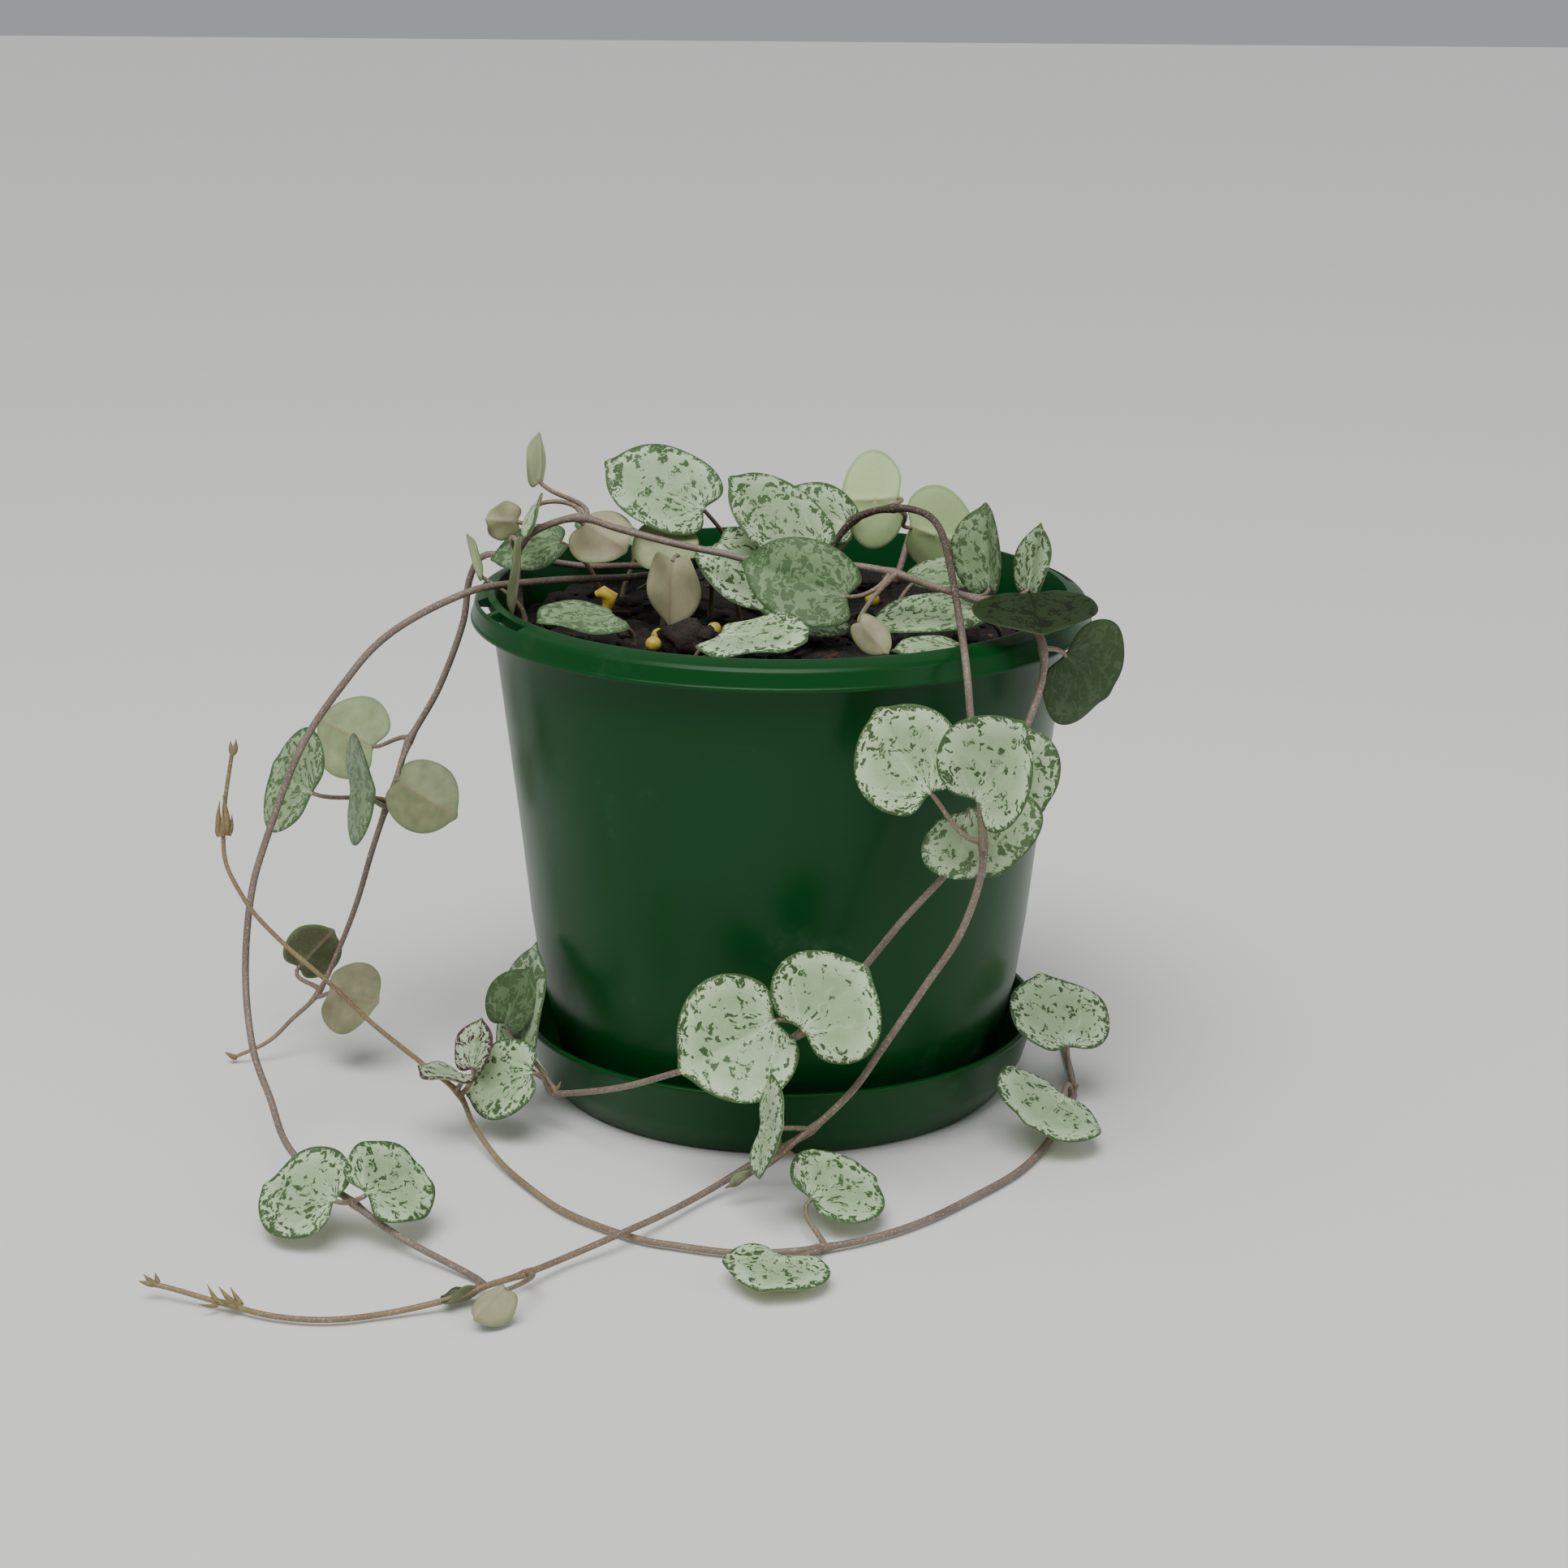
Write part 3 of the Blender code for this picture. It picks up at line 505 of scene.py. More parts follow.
# %% The routes of the stems, in millimetres
VINES = {
    "vine_a": (
        (-17, 17, 93.5), (-23, 14, 98), (-32, 10, 98.5), (-42, 4, 99.5), (-50, -3, 100.4),
        (-56, -9, 101), (-60.5, -12, 100.2), (-68.5, -13, 96.5), (-76, -14, 91.5),
        (-82, -16, 85), (-91, -19, 72), (-98, -24, 54), (-100.5, -28, 44), (-101, -34, 31),
        (-98.5, -44, 20.5), (-94, -54, 14.5), (-88, -68, 9.5), (-74.5, -86, 7.5),
        (-66, -91, 3.5), (-53, -101, 1.2), (-50, -105, 1.2),
    ),
    "vine_b": (
        (6, 14, 93.5), (8, 8.5, 102), (14, 7.5, 111), (21.5, 2, 114.5), (27, -6, 115.3),
        (29.7, -14, 114), (31, -24, 110.5), (32, -38, 105), (32.5, -52, 101),
        (33, -57.5, 96.5), (33.7, -60.5, 89), (35, -63, 79.5), (36, -66.5, 68.5),
        (35.3, -68, 61.7), (32, -67.5, 51.7), (26.3, -66, 41.7), (19, -66, 30),
        (13.5, -65, 21), (6, -64, 12.8), (0.3, -64, 9), (-5, -62.5, 5.2),
        (-12, -67, 2.4), (-20, -78, 2.4), (-28, -89, 3.2), (-36, -96, 2.4),
        (-43, -104.5, 3), (-49, -111, 3.8), (-56, -113.5, 2.2), (-65.5, -116.5, 1.2),
        (-74.5, -119, 1.2), (-83.5, -118, 1.2), (-92, -114.5, 1.5), (-102, -110.5, 2.5),
        (-106, -109.5, 3),
    ),
    "vine_c": (
        (-51, 5, 93.5), (-51.2, 2, 102), (-50, -2, 108), (-45.5, -3, 111.5),
        (-38.5, -4, 113.5), (-31.5, -5, 111.7), (-20.5, -8, 109.5), (-11, -10, 108),
        (-5, -12, 107.3), (12, -16, 107.4), (21, -19, 106.6), (28, -24, 105.3),
        (36, -30, 104.3), (42.5, -36, 103.7), (46, -40, 101.5), (47.5, -42, 98),
        (47.5, -42.5, 92.5), (45, -46, 85.5), (41, -50, 77.5), (34, -57, 65.3),
        (29, -59, 59.5), (22.5, -58, 51.5), (16.5, -56.5, 43), (10.5, -56, 35),
        (4.5, -56.5, 29), (-5.5, -56.5, 24.5), (-18, -55, 20.5), (-27, -50.5, 16),
        (-34, -44.5, 12.3), (-42.5, -34.5, 7.5),
    ),
    "vine_d": (
        (24, 38, 93.5), (27, 45, 101), (30, 52, 101.5), (32.5, 56.5, 97), (34, 59, 80),
        (34, 58, 50), (36, 58, 20), (40, 56, 5), (47, 48, 1.3), (54, 35, 1.2),
        (57.5, 20, 1.2), (58.5, 8, 1.2), (58, -18.5, 1.4), (52, -39.5, 1.2),
        (45, -55, 1.2), (35, -68, 1.2), (26, -78, 1.2), (17, -85, 1.2), (8, -89.5, 1.3),
        (0, -91.3, 1.2), (-8, -91.5, 1.2), (-17, -89, 1.2), (-25.5, -85.5, 1.2),
        (-37.5, -75.5, 1.2), (-45.5, -64, 1.2), (-52, -53, 1.8), (-57.5, -42, 4),
        (-61, -36, 8.2), (-67.5, -36, 14), (-76.5, -37, 22.3), (-84.5, -38, 31),
        (-92, -38, 38), (-97.5, -38, 44), (-100.5, -38, 48.7), (-103, -38, 54.5),
        (-103.5, -37, 60), (-103, -36, 66.5), (-101.5, -35, 75.5),
    ),
    "vine_e": (
        (-24, 26, 93.5), (-27, 24, 97.5), (-39, 20, 98.5), (-50, 18, 100.4),
        (-56, 19, 101), (-60, 20.5, 100), (-62.5, 21, 95), (-64, 21, 86), (-69, 20, 73),
        (-75, 18, 62.5), (-77, 14, 56.5), (-79, 12, 51), (-82, 9, 42), (-85, 7, 32),
        (-88.5, 6, 23), (-93, 4, 13.5), (-98.5, 3, 8), (-103, 0, 4.3), (-110, -1, 1.2),
    ),
}

# %% Skinning a stem
SHOWN_RADIUS = 0.7
NODE_SWELLING = 0.45
NODE_LENGTH = 1.6
STEP_LENGTH = 1.4


def curve_point(points, place):
    """A Catmull-Rom curve through the points. place 0 is the first point, 1 the second."""
    index = min(int(place), len(points) - 2)
    t = place - index
    p1, p2 = points[index], points[index + 1]
    p0 = points[index - 1] if index > 0 else p1 * 2 - p2
    p3 = points[index + 2] if index + 2 < len(points) else p2 * 2 - p1
    return 0.5 * (
        p1 * 2 + (p2 - p0) * t
        + (p0 * 2 - p1 * 5 + p2 * 4 - p3) * t * t
        + (p1 * 3 - p0 - p2 * 3 + p3) * t * t * t
    )


def skin(mesh, centres, radii, sides, youth, material_index=0, first_side=Vector((0.3, 0.5, 0.8))):
    """Bridges a row of rings into a closed tube, turning each ring as little as it can."""
    youth_layer = mesh.verts.layers.float.get("youth") or mesh.verts.layers.float.new("youth")
    side = first_side
    loops = []
    for index, centre in enumerate(centres):
        before = centres[max(index - 1, 0)]
        after = centres[min(index + 1, len(centres) - 1)]
        along = (after - before).normalized()
        side = (side - along * side.dot(along)).normalized()
        frame_axes = Matrix((side, along.cross(side), along)).transposed().to_4x4()
        ends = index in (0, len(centres) - 1)
        ring = bmesh.ops.create_circle(
            mesh, cap_ends=ends, segments=sides, radius=radii[index],
            matrix=Matrix.Translation(centre) @ frame_axes)["verts"]
        for point in ring:
            point[youth_layer] = youth[index]
        loops.append({e for v in ring for e in v.link_edges})
    for low, high in zip(loops, loops[1:]):
        made = bmesh.ops.bridge_loops(mesh, edges=list(low | high))
        for face in made["faces"]:
            face.material_index = material_index
    for point_set in (loops[0], loops[-1]):
        for face in {f for e in point_set for f in e.link_faces}:
            face.material_index = material_index


def smooth_between(low, high, value):
    share = min(1.0, max(0.0, (value - low) / (high - low)))
    return share * share * (3 - 2 * share)


# How much each stem thins towards its end, and where its skin turns young, as shares.
THINNING = {"vine_b": 0.35, "vine_d": 0.45, "vine_e": 0.45}
YOUNG_FROM = {"vine_b": 0.62, "vine_d": 0.55, "vine_e": 0.75}
# Up to where the skin is old, dark and woody.
OLD_UNTIL = {"vine_b": 0.2}


# %% Where each leaf is
# Each leaf: the stem and the point of it that its stalk grows from (or the spot on the mix),
# where the stalk meets the blade, the way its tip points (compass angle from +X, rise), its
# roll about that line, length, width and the fold of its two halves, in mm and degrees.
LEAVES = {
    "leaf_a1": ("vine_a", 17, (-77.5, -87.5, 8.7), 145, -5, -40, 17.5, 19, 8),
    "leaf_a2": ("vine_a", 17, (-72.2, -88.8, 10.3), 55, 0, 40, 16, 18, 8),
    "leaf_b2": ("vine_b", 3, (25.5, 20, 107), -30, -8, -80, 15.5, 20.5, 8),
    "leaf_b1": ("vine_b", 2, (23.2, 22.5, 112.2), -162, 0, 98, 12.5, 20, 8),
    "leaf_b3": ("vine_b", 1, (13.5, 14, 108.5), 180, 22, -48, 15.5, 13, 5),
    "leaf_b4": ("vine_b", 12, (26.5, -66, 77.7), 145, 50, -72, 18, 21, 8),
    "leaf_b5": ("vine_b", 12, (34, -77, 79.5), -39, 59, 87, 19, 22, 23),
    "leaf_b6": ("vine_b", 18, (-3, -74, 17.5), -65, 22, 72, 11, 19, 8),
    "leaf_b7": ("vine_b", 25, (-45, -117, 6.2), -135, -25, 155, 8, 9, 40),
    "leaf_c1": ("vine_c", 29, (-50, -29, 12.5), 60, 72, -28, 23, 17.5, 10),
    "leaf_c2": ("vine_c", 29, (-46.5, -39, 13.7), 160, -24, -50, 15.5, 16.5, 8),
    "leaf_c3": ("vine_c", 24, (-0.5, -61, 33), -160, -22, -58, 20, 25, 14),
    "leaf_c4": ("vine_c", 24, (4.5, -68, 33.7), -5, 48, 75, 17, 23, 10),
    "leaf_c5": ("vine_c", 18, (38.3, -54, 82.7), -3, -53, 76, 15, 18, 5),
    "leaf_c6": ("vine_c", 19, (34, -60, 73), -45, -55, 45, 13, 23, 5),
    "leaf_c7": ("vine_c", 14, (45.5, -34, 106), -85, -13, 2, 15.5, 23, 3),
    "leaf_c8": ("vine_c", 15, (52, -35, 95.2), 30, -42, 88, 14, 22, 6),
    "leaf_c9": ("vine_c", 12, (39, -24, 105), 108, 76, -75, 16, 17, 25),
    "leaf_c10": ("vine_c", 12, (46, -24, 104.5), 30, 78, 0, 13, 11, 10),
    "leaf_c11": ("vine_c", 10, (12.5, -21, 102.3), 177, 18, -62, 21, 17, 8),
    "leaf_c12": ("vine_c", 10, (14, -40, 102.5), -55, -25, -135, 10, 7, 25),
    "leaf_c13": ("vine_c", 4, (-38.5, 4, 110.3), -40, -17, -142, 12, 13, 8),
    "leaf_c14": ("vine_c", 4, (-47, -0.5, 115.5), -100, -35, 60, 9, 10, 10),
    "leaf_c15": ("vine_c", 4, (-47, 4.5, 118.3), 90, 80, -105, 10, 11, 10),
    "leaf_c16": ("vine_c", 2, (-49.5, -13, 110.8), -120, -78, 60, 15, 14, 6),
    "leaf_c17": ("vine_c", 2, (-51.7, 11.6, 109.2), -140, 10, 85, 8, 8, 8),
    "leaf_d1": ("vine_d", 12, (56.5, -23, 13.5), 112, 38, 8, 17, 22.5, 8),
    "leaf_d2": ("vine_d", 12, (54.5, -35, 8), -120, 0, -25, 17, 22.5, 6),
    "leaf_d3": ("vine_d", 18, (6, -80, 6.5), 40, 0, 24, 15.5, 19.5, 8),
    "leaf_d4": ("vine_d", 18, (1.5, -96.5, 3), -105, 0, -5, 15.5, 19, 6),
    "leaf_d5": ("vine_d", 27, (-58.3, -35.5, 12.9), 65, 65, -15, 10, 10, 15),
    "leaf_d6": ("vine_d", 27, (-60, -38, 13), -130, 15, -5, 11, 11, 5),
    "leaf_e1": ("vine_e", 9, (-82.5, 22, 60), 150, 15, 120, 15, 18, 8),
    "leaf_e2": ("vine_e", 9, (-76.2, 8, 57.1), -28, -22, -120, 15, 15, 12),
    "leaf_e3": ("vine_e", 11, (-91.5, -5, 58.3), 128, 10, -66, 15, 22.5, 10),
    "leaf_e4": ("vine_e", 11, (-84, -5, 59.3), -65, 15, 85, 16, 22, 6),
    "leaf_e5": ("vine_e", 15, (-98, 10.5, 16.5), -10, 48, -80, 12, 11.5, 8),
    "leaf_e6": ("vine_e", 15, (-90, -1, 15.5), -30, 0, -128, 12.5, 15.5, 8),
    "leaf_p1": ("mix", (-6, 18, 92.5), (-15, 7, 113), 165, 22, -40, 22, 20, 6),
    "leaf_p2": ("mix", (-23, 2, 92.5), (-22.5, -1.5, 103.8), 90, 38, 178, 13, 13, 6),
    "leaf_p3": ("mix", (10, 6, 92.5), (6.5, -3, 107), 168, 38, -35, 22, 18, 8),
    "leaf_p4": ("mix", (-8, 4, 92.5), (-12.5, -1, 108), -32, -36, 25, 19, 17, 6),
    "leaf_p5": ("mix", (-19, 2, 92.5), (-20.5, -14.5, 108), 110, -84, 50, 14, 12, 8),
    "leaf_p6": ("mix", (-28, -13, 92.5), (-31.5, -19, 97.5), -150, 4, -8, 16, 18, 5),
    "leaf_p7": ("mix", (-16, -28, 92.5), (-11.5, -32, 97.5), -35, 5, 10, 20, 21, 4),
    "leaf_p8": ("mix", (-8, -10, 92.5), (-2, -18, 97), 17, -8, 10, 16, 15, 4),
    "leaf_p9": ("mix", (42, -14, 92.5), (37, -20, 99.5), 175, -8, -10, 21, 20, 6),
    "leaf_p10": ("mix", (36, -36, 92.5), (32, -38, 97), 177, -2, -5, 12, 12, 4),
    "leaf_p11": ("mix", (-35, 12, 92.5), (-43, 9, 106), -177, -15, -28, 14.5, 13, 5),
}

# %% The stems themselves
def build_stem(name):
    """One stem along its route, swollen at its nodes and thinner at its end."""
    route = [Vector(point) for point in VINES[name]]
    nodes = sorted({entry[1] for entry in LEAVES.values() if entry[0] == name})
    centres, radii, youth = [], [], []
    for index in range(len(route) - 1):
        count = max(1, round((route[index + 1] - route[index]).length / STEP_LENGTH))
        centres += [curve_point(route, index + step / count) for step in range(count)]
    centres.append(route[-1])
    for index, centre in enumerate(centres):
        share = index / (len(centres) - 1)
        radius = SHOWN_RADIUS * (1 - THINNING.get(name, 0.15) * share ** 3)
        swelling = sum(math.exp(-((centre - route[node]).length / NODE_LENGTH) ** 2)
                       for node in nodes)
        radii.append(radius * (1 + NODE_SWELLING * min(swelling, 1)))
        start, old = YOUNG_FROM.get(name, 2.0), OLD_UNTIL.get(name, -1.0)
        youth.append(smooth_between(start, start + 0.25, share)
                     - 1 + smooth_between(old, old + 0.1, share))
    mesh = bmesh.new()
    skin(mesh, centres, radii, 12, youth)
    bmesh.ops.recalc_face_normals(mesh, faces=mesh.faces)
    return finished("stem_" + name[-1], mesh, [stem_skin], [name], smooth_angle=60)


for name in VINES:
    stem = build_stem(name)
    print(stem.name, len(stem.data.polygons), "faces")

# %% [markdown]
# ## The marbled leaf
# The upper face of a leaf is dark green with a pale waxy marbling on it. Between the veins
# the pale part is whole, and dark flecks are left on it, longer along the veins than across
# them. They crowd together towards the edge and join into a green border about a
# millimetre wide. The pattern has to follow the leaf, so each point of a leaf carries where
# it is on the flat blade, and the shader reads that instead of the place in space.
#
# The lower face has no marbling: it is a plain pale green, and beige or pink on leaves
# that had strong light.

# %% What each point of a leaf knows
def leaf_marks(tree):
    """The place on the blade as one vector, then the parts of each of the three marks:
    blade: across, along and a number of its own for each leaf, in millimetres
    veins: angle round the stalk, distance from it, distance in from the edge
    character: how silver, how beige below and how young, each from 0 to 1"""
    vectors = [add(tree, "ShaderNodeAttribute", {}, attribute_name=name).outputs["Vector"]
               for name in ("blade", "veins", "character")]
    return vectors[0], *[add(tree, "ShaderNodeSeparateXYZ", {0: vector}) for vector in vectors]


# %% Marbled upper face
def leaf_top_material():
    """Dark green with pale marbling that follows the veins."""
    made, tree, shader = new_material("marbled_leaf")
    blade, split_blade, split_veins, split_character = leaf_marks(tree)
    silver, young = split_character.outputs[0], split_character.outputs[2]
    edge = split_veins.outputs[2]

    # Coordinates that run along the veins: 5.5 mm across for each radian, squeezed along.
    across = add(tree, "ShaderNodeMath", {0: split_veins.outputs[0], 1: 5.5}, operation="MULTIPLY")
    along = add(tree, "ShaderNodeMath", {0: split_veins.outputs[1], 1: 0.5}, operation="MULTIPLY")
    vein_place = add(tree, "ShaderNodeCombineXYZ", {0: across.outputs[0], 1: along.outputs[0],
                                                    2: split_blade.outputs[2]})
    # The veins wander, so the place is shifted by a noise of 2 mm.
    wander = add(tree, "ShaderNodeTexNoise", {"Vector": blade, "Scale": 0.55, "Detail": 2.0})
    shift = add(tree, "ShaderNodeVectorMath", {0: wander.outputs["Color"], 1: (2.2, 2.2, 0)},
                operation="MULTIPLY")
    bent = add(tree, "ShaderNodeVectorMath", {0: vein_place.outputs[0], 1: shift.outputs[0]},
               operation="ADD")

    # Dark flecks: cells about 0.7 mm across and 1.3 mm along the veins. Only some are filled,
    # more of them in patches of 1 to 3 mm and towards the edge, and most of them on a leaf
    # with little silver.
    cells = add(tree, "ShaderNodeTexVoronoi", {"Vector": bent.outputs[0], "Scale": 1.5,
                                               "Randomness": 1.0})
    ragged = add(tree, "ShaderNodeTexNoise", {"Vector": blade, "Scale": 4.0, "Detail": 3.0,
                                              "Roughness": 0.65})
    rough_distance = add(tree, "ShaderNodeMath", {0: ragged.outputs["Fac"], 1: 0.7,
                                                  2: cells.outputs["Distance"]},
                         operation="MULTIPLY_ADD")
    near_edge = add(tree, "ShaderNodeMapRange", {"Value": edge, 1: 0.4, 2: 3.4, 3: 1.0, 4: 0.0},
                    interpolation_type="SMOOTHSTEP")
    patches = add(tree, "ShaderNodeTexNoise", {"Vector": bent.outputs[0], "Scale": 0.75,
                                               "Detail": 1.0})
    patch = add(tree, "ShaderNodeMapRange", {"Value": patches.outputs["Fac"], 1: 0.5, 2: 0.66,
                                             3: 0.1, 4: 0.9}, interpolation_type="SMOOTHSTEP")
    chance = add(tree, "ShaderNodeMath", {0: near_edge.outputs[0], 1: 0.6, 2: patch.outputs[0]},
                 operation="MULTIPLY_ADD")
    less_silver = add(tree, "ShaderNodeMapRange", {"Value": silver, 3: 0.6, 4: 0.0})
    chance = add(tree, "ShaderNodeMath", {0: chance.outputs[0], 1: less_silver.outputs[0]},
                 operation="ADD")
    draw = add(tree, "ShaderNodeSeparateColor", {0: cells.outputs["Color"]})
    filled = add(tree, "ShaderNodeMath", {0: draw.outputs[0], 1: chance.outputs[0]},
                 operation="LESS_THAN")
    grown = add(tree, "ShaderNodeMath", {0: less_silver.outputs[0], 1: 0.4, 2: 0.81},
                operation="MULTIPLY_ADD")
    depth = add(tree, "ShaderNodeMath", {0: grown.outputs[0], 1: rough_distance.outputs[0]},
                operation="SUBTRACT")
    shape = add(tree, "ShaderNodeMapRange", {"Value": depth.outputs[0], 1: 0.0, 2: 0.1},
                interpolation_type="SMOOTHSTEP")
    fleck = add(tree, "ShaderNodeMath", {0: shape.outputs[0], 1: filled.outputs[0]},
                operation="MULTIPLY")

    # The green border, with a feathered inner line.
    feather = add(tree, "ShaderNodeTexNoise", {"Vector": bent.outputs[0], "Scale": 2.4,
                                               "Detail": 3.0, "Roughness": 0.6})
    feathered = add(tree, "ShaderNodeMath", {0: feather.outputs["Fac"], 1: 3.4, 2: -1.3},
                    operation="MULTIPLY_ADD")
    inset = add(tree, "ShaderNodeMath", {0: edge, 1: feathered.outputs[0]}, operation="SUBTRACT")
    border = add(tree, "ShaderNodeMapRange", {"Value": inset.outputs[0], 1: 0.0, 2: 0.35, 3: 1.0,
                                              4: 0.0}, interpolation_type="SMOOTHSTEP")
    # On a leaf with little silver the flecks are fainter.
    strength = add(tree, "ShaderNodeMapRange", {"Value": silver, 1: 0.3, 2: 0.7, 3: 0.8, 4: 1.0})
    soft_fleck = add(tree, "ShaderNodeMath", {0: fleck.outputs[0], 1: strength.outputs[0]},
                     operation="MULTIPLY")
    dark_share = add(tree, "ShaderNodeMath", {0: soft_fleck.outputs[0], 1: border.outputs[0]},
                     operation="MAXIMUM")

    # A fine pale line runs down the middle, thinning out towards the tip.
    from_middle = add(tree, "ShaderNodeMath", {0: split_blade.outputs[0]}, operation="ABSOLUTE")
    midrib = add(tree, "ShaderNodeMapRange", {"Value": from_middle.outputs[0], 1: 0.12, 2: 0.4,
                                              3: 1.0, 4: 0.0})
    fading = add(tree, "ShaderNodeMapRange", {"Value": split_veins.outputs[1], 1: 3.0, 2: 14.0,
                                              3: 0.9, 4: 0.0})
    rib_share = add(tree, "ShaderNodeMath", {0: midrib.outputs[0], 1: fading.outputs[0]},
                    operation="MULTIPLY")
    rib_left = add(tree, "ShaderNodeMath", {0: 1.0, 1: rib_share.outputs[0]}, operation="SUBTRACT")
    dark_share = add(tree, "ShaderNodeMath", {0: dark_share.outputs[0], 1: rib_left.outputs[0]},
                     operation="MULTIPLY")

    # The silver is cloudy and finely grained.
    clouds = add(tree, "ShaderNodeTexNoise", {"Vector": blade, "Scale": 0.35, "Detail": 3.0})
    grain = add(tree, "ShaderNodeTexNoise", {"Vector": blade, "Scale": 6.0, "Detail": 2.0})
    silver_tone = add(tree, "ShaderNodeMix", {
        FACTOR: clouds.outputs["Fac"], FIRST_COLOUR: linear("8aa57a"),
        SECOND_COLOUR: linear("b0c79c")}, data_type="RGBA")
    grain_share = add(tree, "ShaderNodeMapRange", {"Value": grain.outputs["Fac"], 1: 0.5, 2: 0.75,
                                                   3: 0.0, 4: 0.35})
    # The wax is thickest, and so palest, in the outer part of the blade.
    outer = add(tree, "ShaderNodeMapRange", {"Value": edge, 1: 1.0, 2: 5.0, 3: 0.55, 4: 0.0},
                interpolation_type="SMOOTHSTEP")
    # A leaf with less silver is duller, and one with hardly any is almost black-green. Both are
    # partly painted shade: leaves that lie in shade are given less silver, and the near-black tone
    # stands in for their shade.
    muted = add(tree, "ShaderNodeMapRange", {"Value": silver, 1: 0.25, 2: 0.8, 3: 0.85, 4: 0.0})
    near_black_and_shade = add(tree, "ShaderNodeMapRange", {"Value": silver, 1: 0.0, 2: 0.25, 3: 1.0,
                                                   4: 0.0})
    for share, tint in ((grain_share, "d8e6c8"), (outer, "cfe4bd"), (muted, "647f56"),
                        (near_black_and_shade, "161e0b")):
        silver_tone = add(tree, "ShaderNodeMix", {
            FACTOR: share.outputs[0], FIRST_COLOUR: silver_tone.outputs[MIXED],
            SECOND_COLOUR: linear(tint)}, data_type="RGBA")
    green_tone = add(tree, "ShaderNodeMix", {
        FACTOR: clouds.outputs["Fac"], FIRST_COLOUR: linear("2f4726"),
        SECOND_COLOUR: linear("567048")}, data_type="RGBA")
    # The darker, almost black green of a leaf with hardly any silver is partly painted shade.
    for share, tint in ((near_black_and_shade.outputs[0], "2a3a1c"), (young, "4a3436")):
        green_tone = add(tree, "ShaderNodeMix", {
            FACTOR: share, FIRST_COLOUR: green_tone.outputs[MIXED],
            SECOND_COLOUR: linear(tint)}, data_type="RGBA")
    # Pale side veins leave the stalk at every 0.75 radian.
    turned = add(tree, "ShaderNodeMath", {0: wander.outputs["Fac"], 1: 0.3,
                                          2: split_veins.outputs[0]}, operation="MULTIPLY_ADD")
    turned = add(tree, "ShaderNodeMath", {0: turned.outputs[0], 1: 0.375}, operation="PINGPONG")
    off_vein = add(tree, "ShaderNodeMath", {0: turned.outputs[0], 1: split_veins.outputs[1]},
                   operation="MULTIPLY")
    side_vein = add(tree, "ShaderNodeMapRange", {"Value": off_vein.outputs[0], 1: 0.08, 2: 0.4,
                                                 3: 0.5, 4: 0.0})
    side_share = add(tree, "ShaderNodeMath", {0: side_vein.outputs[0], 1: fading.outputs[0]},
                     operation="MULTIPLY")
    side_share = add(tree, "ShaderNodeMath", {0: side_share.outputs[0], 1: silver},
                     operation="MULTIPLY")
    silver_tone = add(tree, "ShaderNodeMix", {
        FACTOR: side_share.outputs[0], FIRST_COLOUR: silver_tone.outputs[MIXED],
        SECOND_COLOUR: linear("d3e2c4")}, data_type="RGBA")
    marbled = add(tree, "ShaderNodeMix", {
        FACTOR: dark_share.outputs[0], FIRST_COLOUR: silver_tone.outputs[MIXED],
        SECOND_COLOUR: green_tone.outputs[MIXED]}, data_type="RGBA")
    tree.links.new(marbled.outputs[MIXED], shader.inputs["Base Color"])

    relief = add(tree, "ShaderNodeMath", {0: ragged.outputs["Fac"], 1: dark_share.outputs[0]},
                 operation="SUBTRACT")
    relief = add(tree, "ShaderNodeMath", {0: side_share.outputs[0], 1: 2.0,
                                          2: relief.outputs[0]}, operation="MULTIPLY_ADD")
    bump = add(tree, "ShaderNodeBump", {"Height": relief.outputs[0], "Strength": 0.3,
                                        "Distance": 0.0002})
    tree.links.new(bump.outputs[0], shader.inputs["Normal"])
    shader.inputs["Roughness"].default_value = 0.42
    shader.inputs["IOR"].default_value = 1.45
    shader.inputs["Specular IOR Level"].default_value = 0.22
    return made


leaf_top = leaf_top_material()

# %% Plain lower face
leaf_under, tree, shader = new_material("leaf_underside")
blade, split_blade, split_veins, split_character = leaf_marks(tree)
lightness, beige = split_character.outputs[0], split_character.outputs[1]
clouds = add(tree, "ShaderNodeTexNoise", {"Vector": blade, "Scale": 0.3, "Detail": 4.0})
grain = add(tree, "ShaderNodeTexNoise", {"Vector": blade, "Scale": 4.0, "Detail": 3.0})
# The paler a leaf is above, the paler it is below. Low values also stand in for painted shade:
# leaves that lie in shade get dark olive undersides.
cloudy = add(tree, "ShaderNodeMath", {0: clouds.outputs["Fac"], 1: 0.5, 2: -0.25},
             operation="MULTIPLY_ADD")
cloudy = add(tree, "ShaderNodeMath", {0: cloudy.outputs[0], 1: lightness}, operation="ADD",
             use_clamp=True)
green_side = add(tree, "ShaderNodeMix", {
    FACTOR: cloudy.outputs[0], FIRST_COLOUR: linear("3a4626"),
    SECOND_COLOUR: linear("cfe8a8")}, data_type="RGBA")
beige_side = add(tree, "ShaderNodeMix", {
    FACTOR: cloudy.outputs[0], FIRST_COLOUR: linear("4a4229"),
    SECOND_COLOUR: linear("cdc3a0")}, data_type="RGBA")
both_sides = add(tree, "ShaderNodeMix", {
    FACTOR: beige, FIRST_COLOUR: green_side.outputs[MIXED],
    SECOND_COLOUR: beige_side.outputs[MIXED]}, data_type="RGBA")
grain_share = add(tree, "ShaderNodeMapRange", {"Value": grain.outputs["Fac"], 1: 0.35, 2: 0.7,
                                               3: 0.0, 4: 0.25})
from_middle = add(tree, "ShaderNodeMath", {0: split_blade.outputs[0]}, operation="ABSOLUTE")
rib_share = add(tree, "ShaderNodeMapRange", {"Value": from_middle.outputs[0], 1: 0.15, 2: 0.5,
                                             3: 0.45, 4: 0.0})
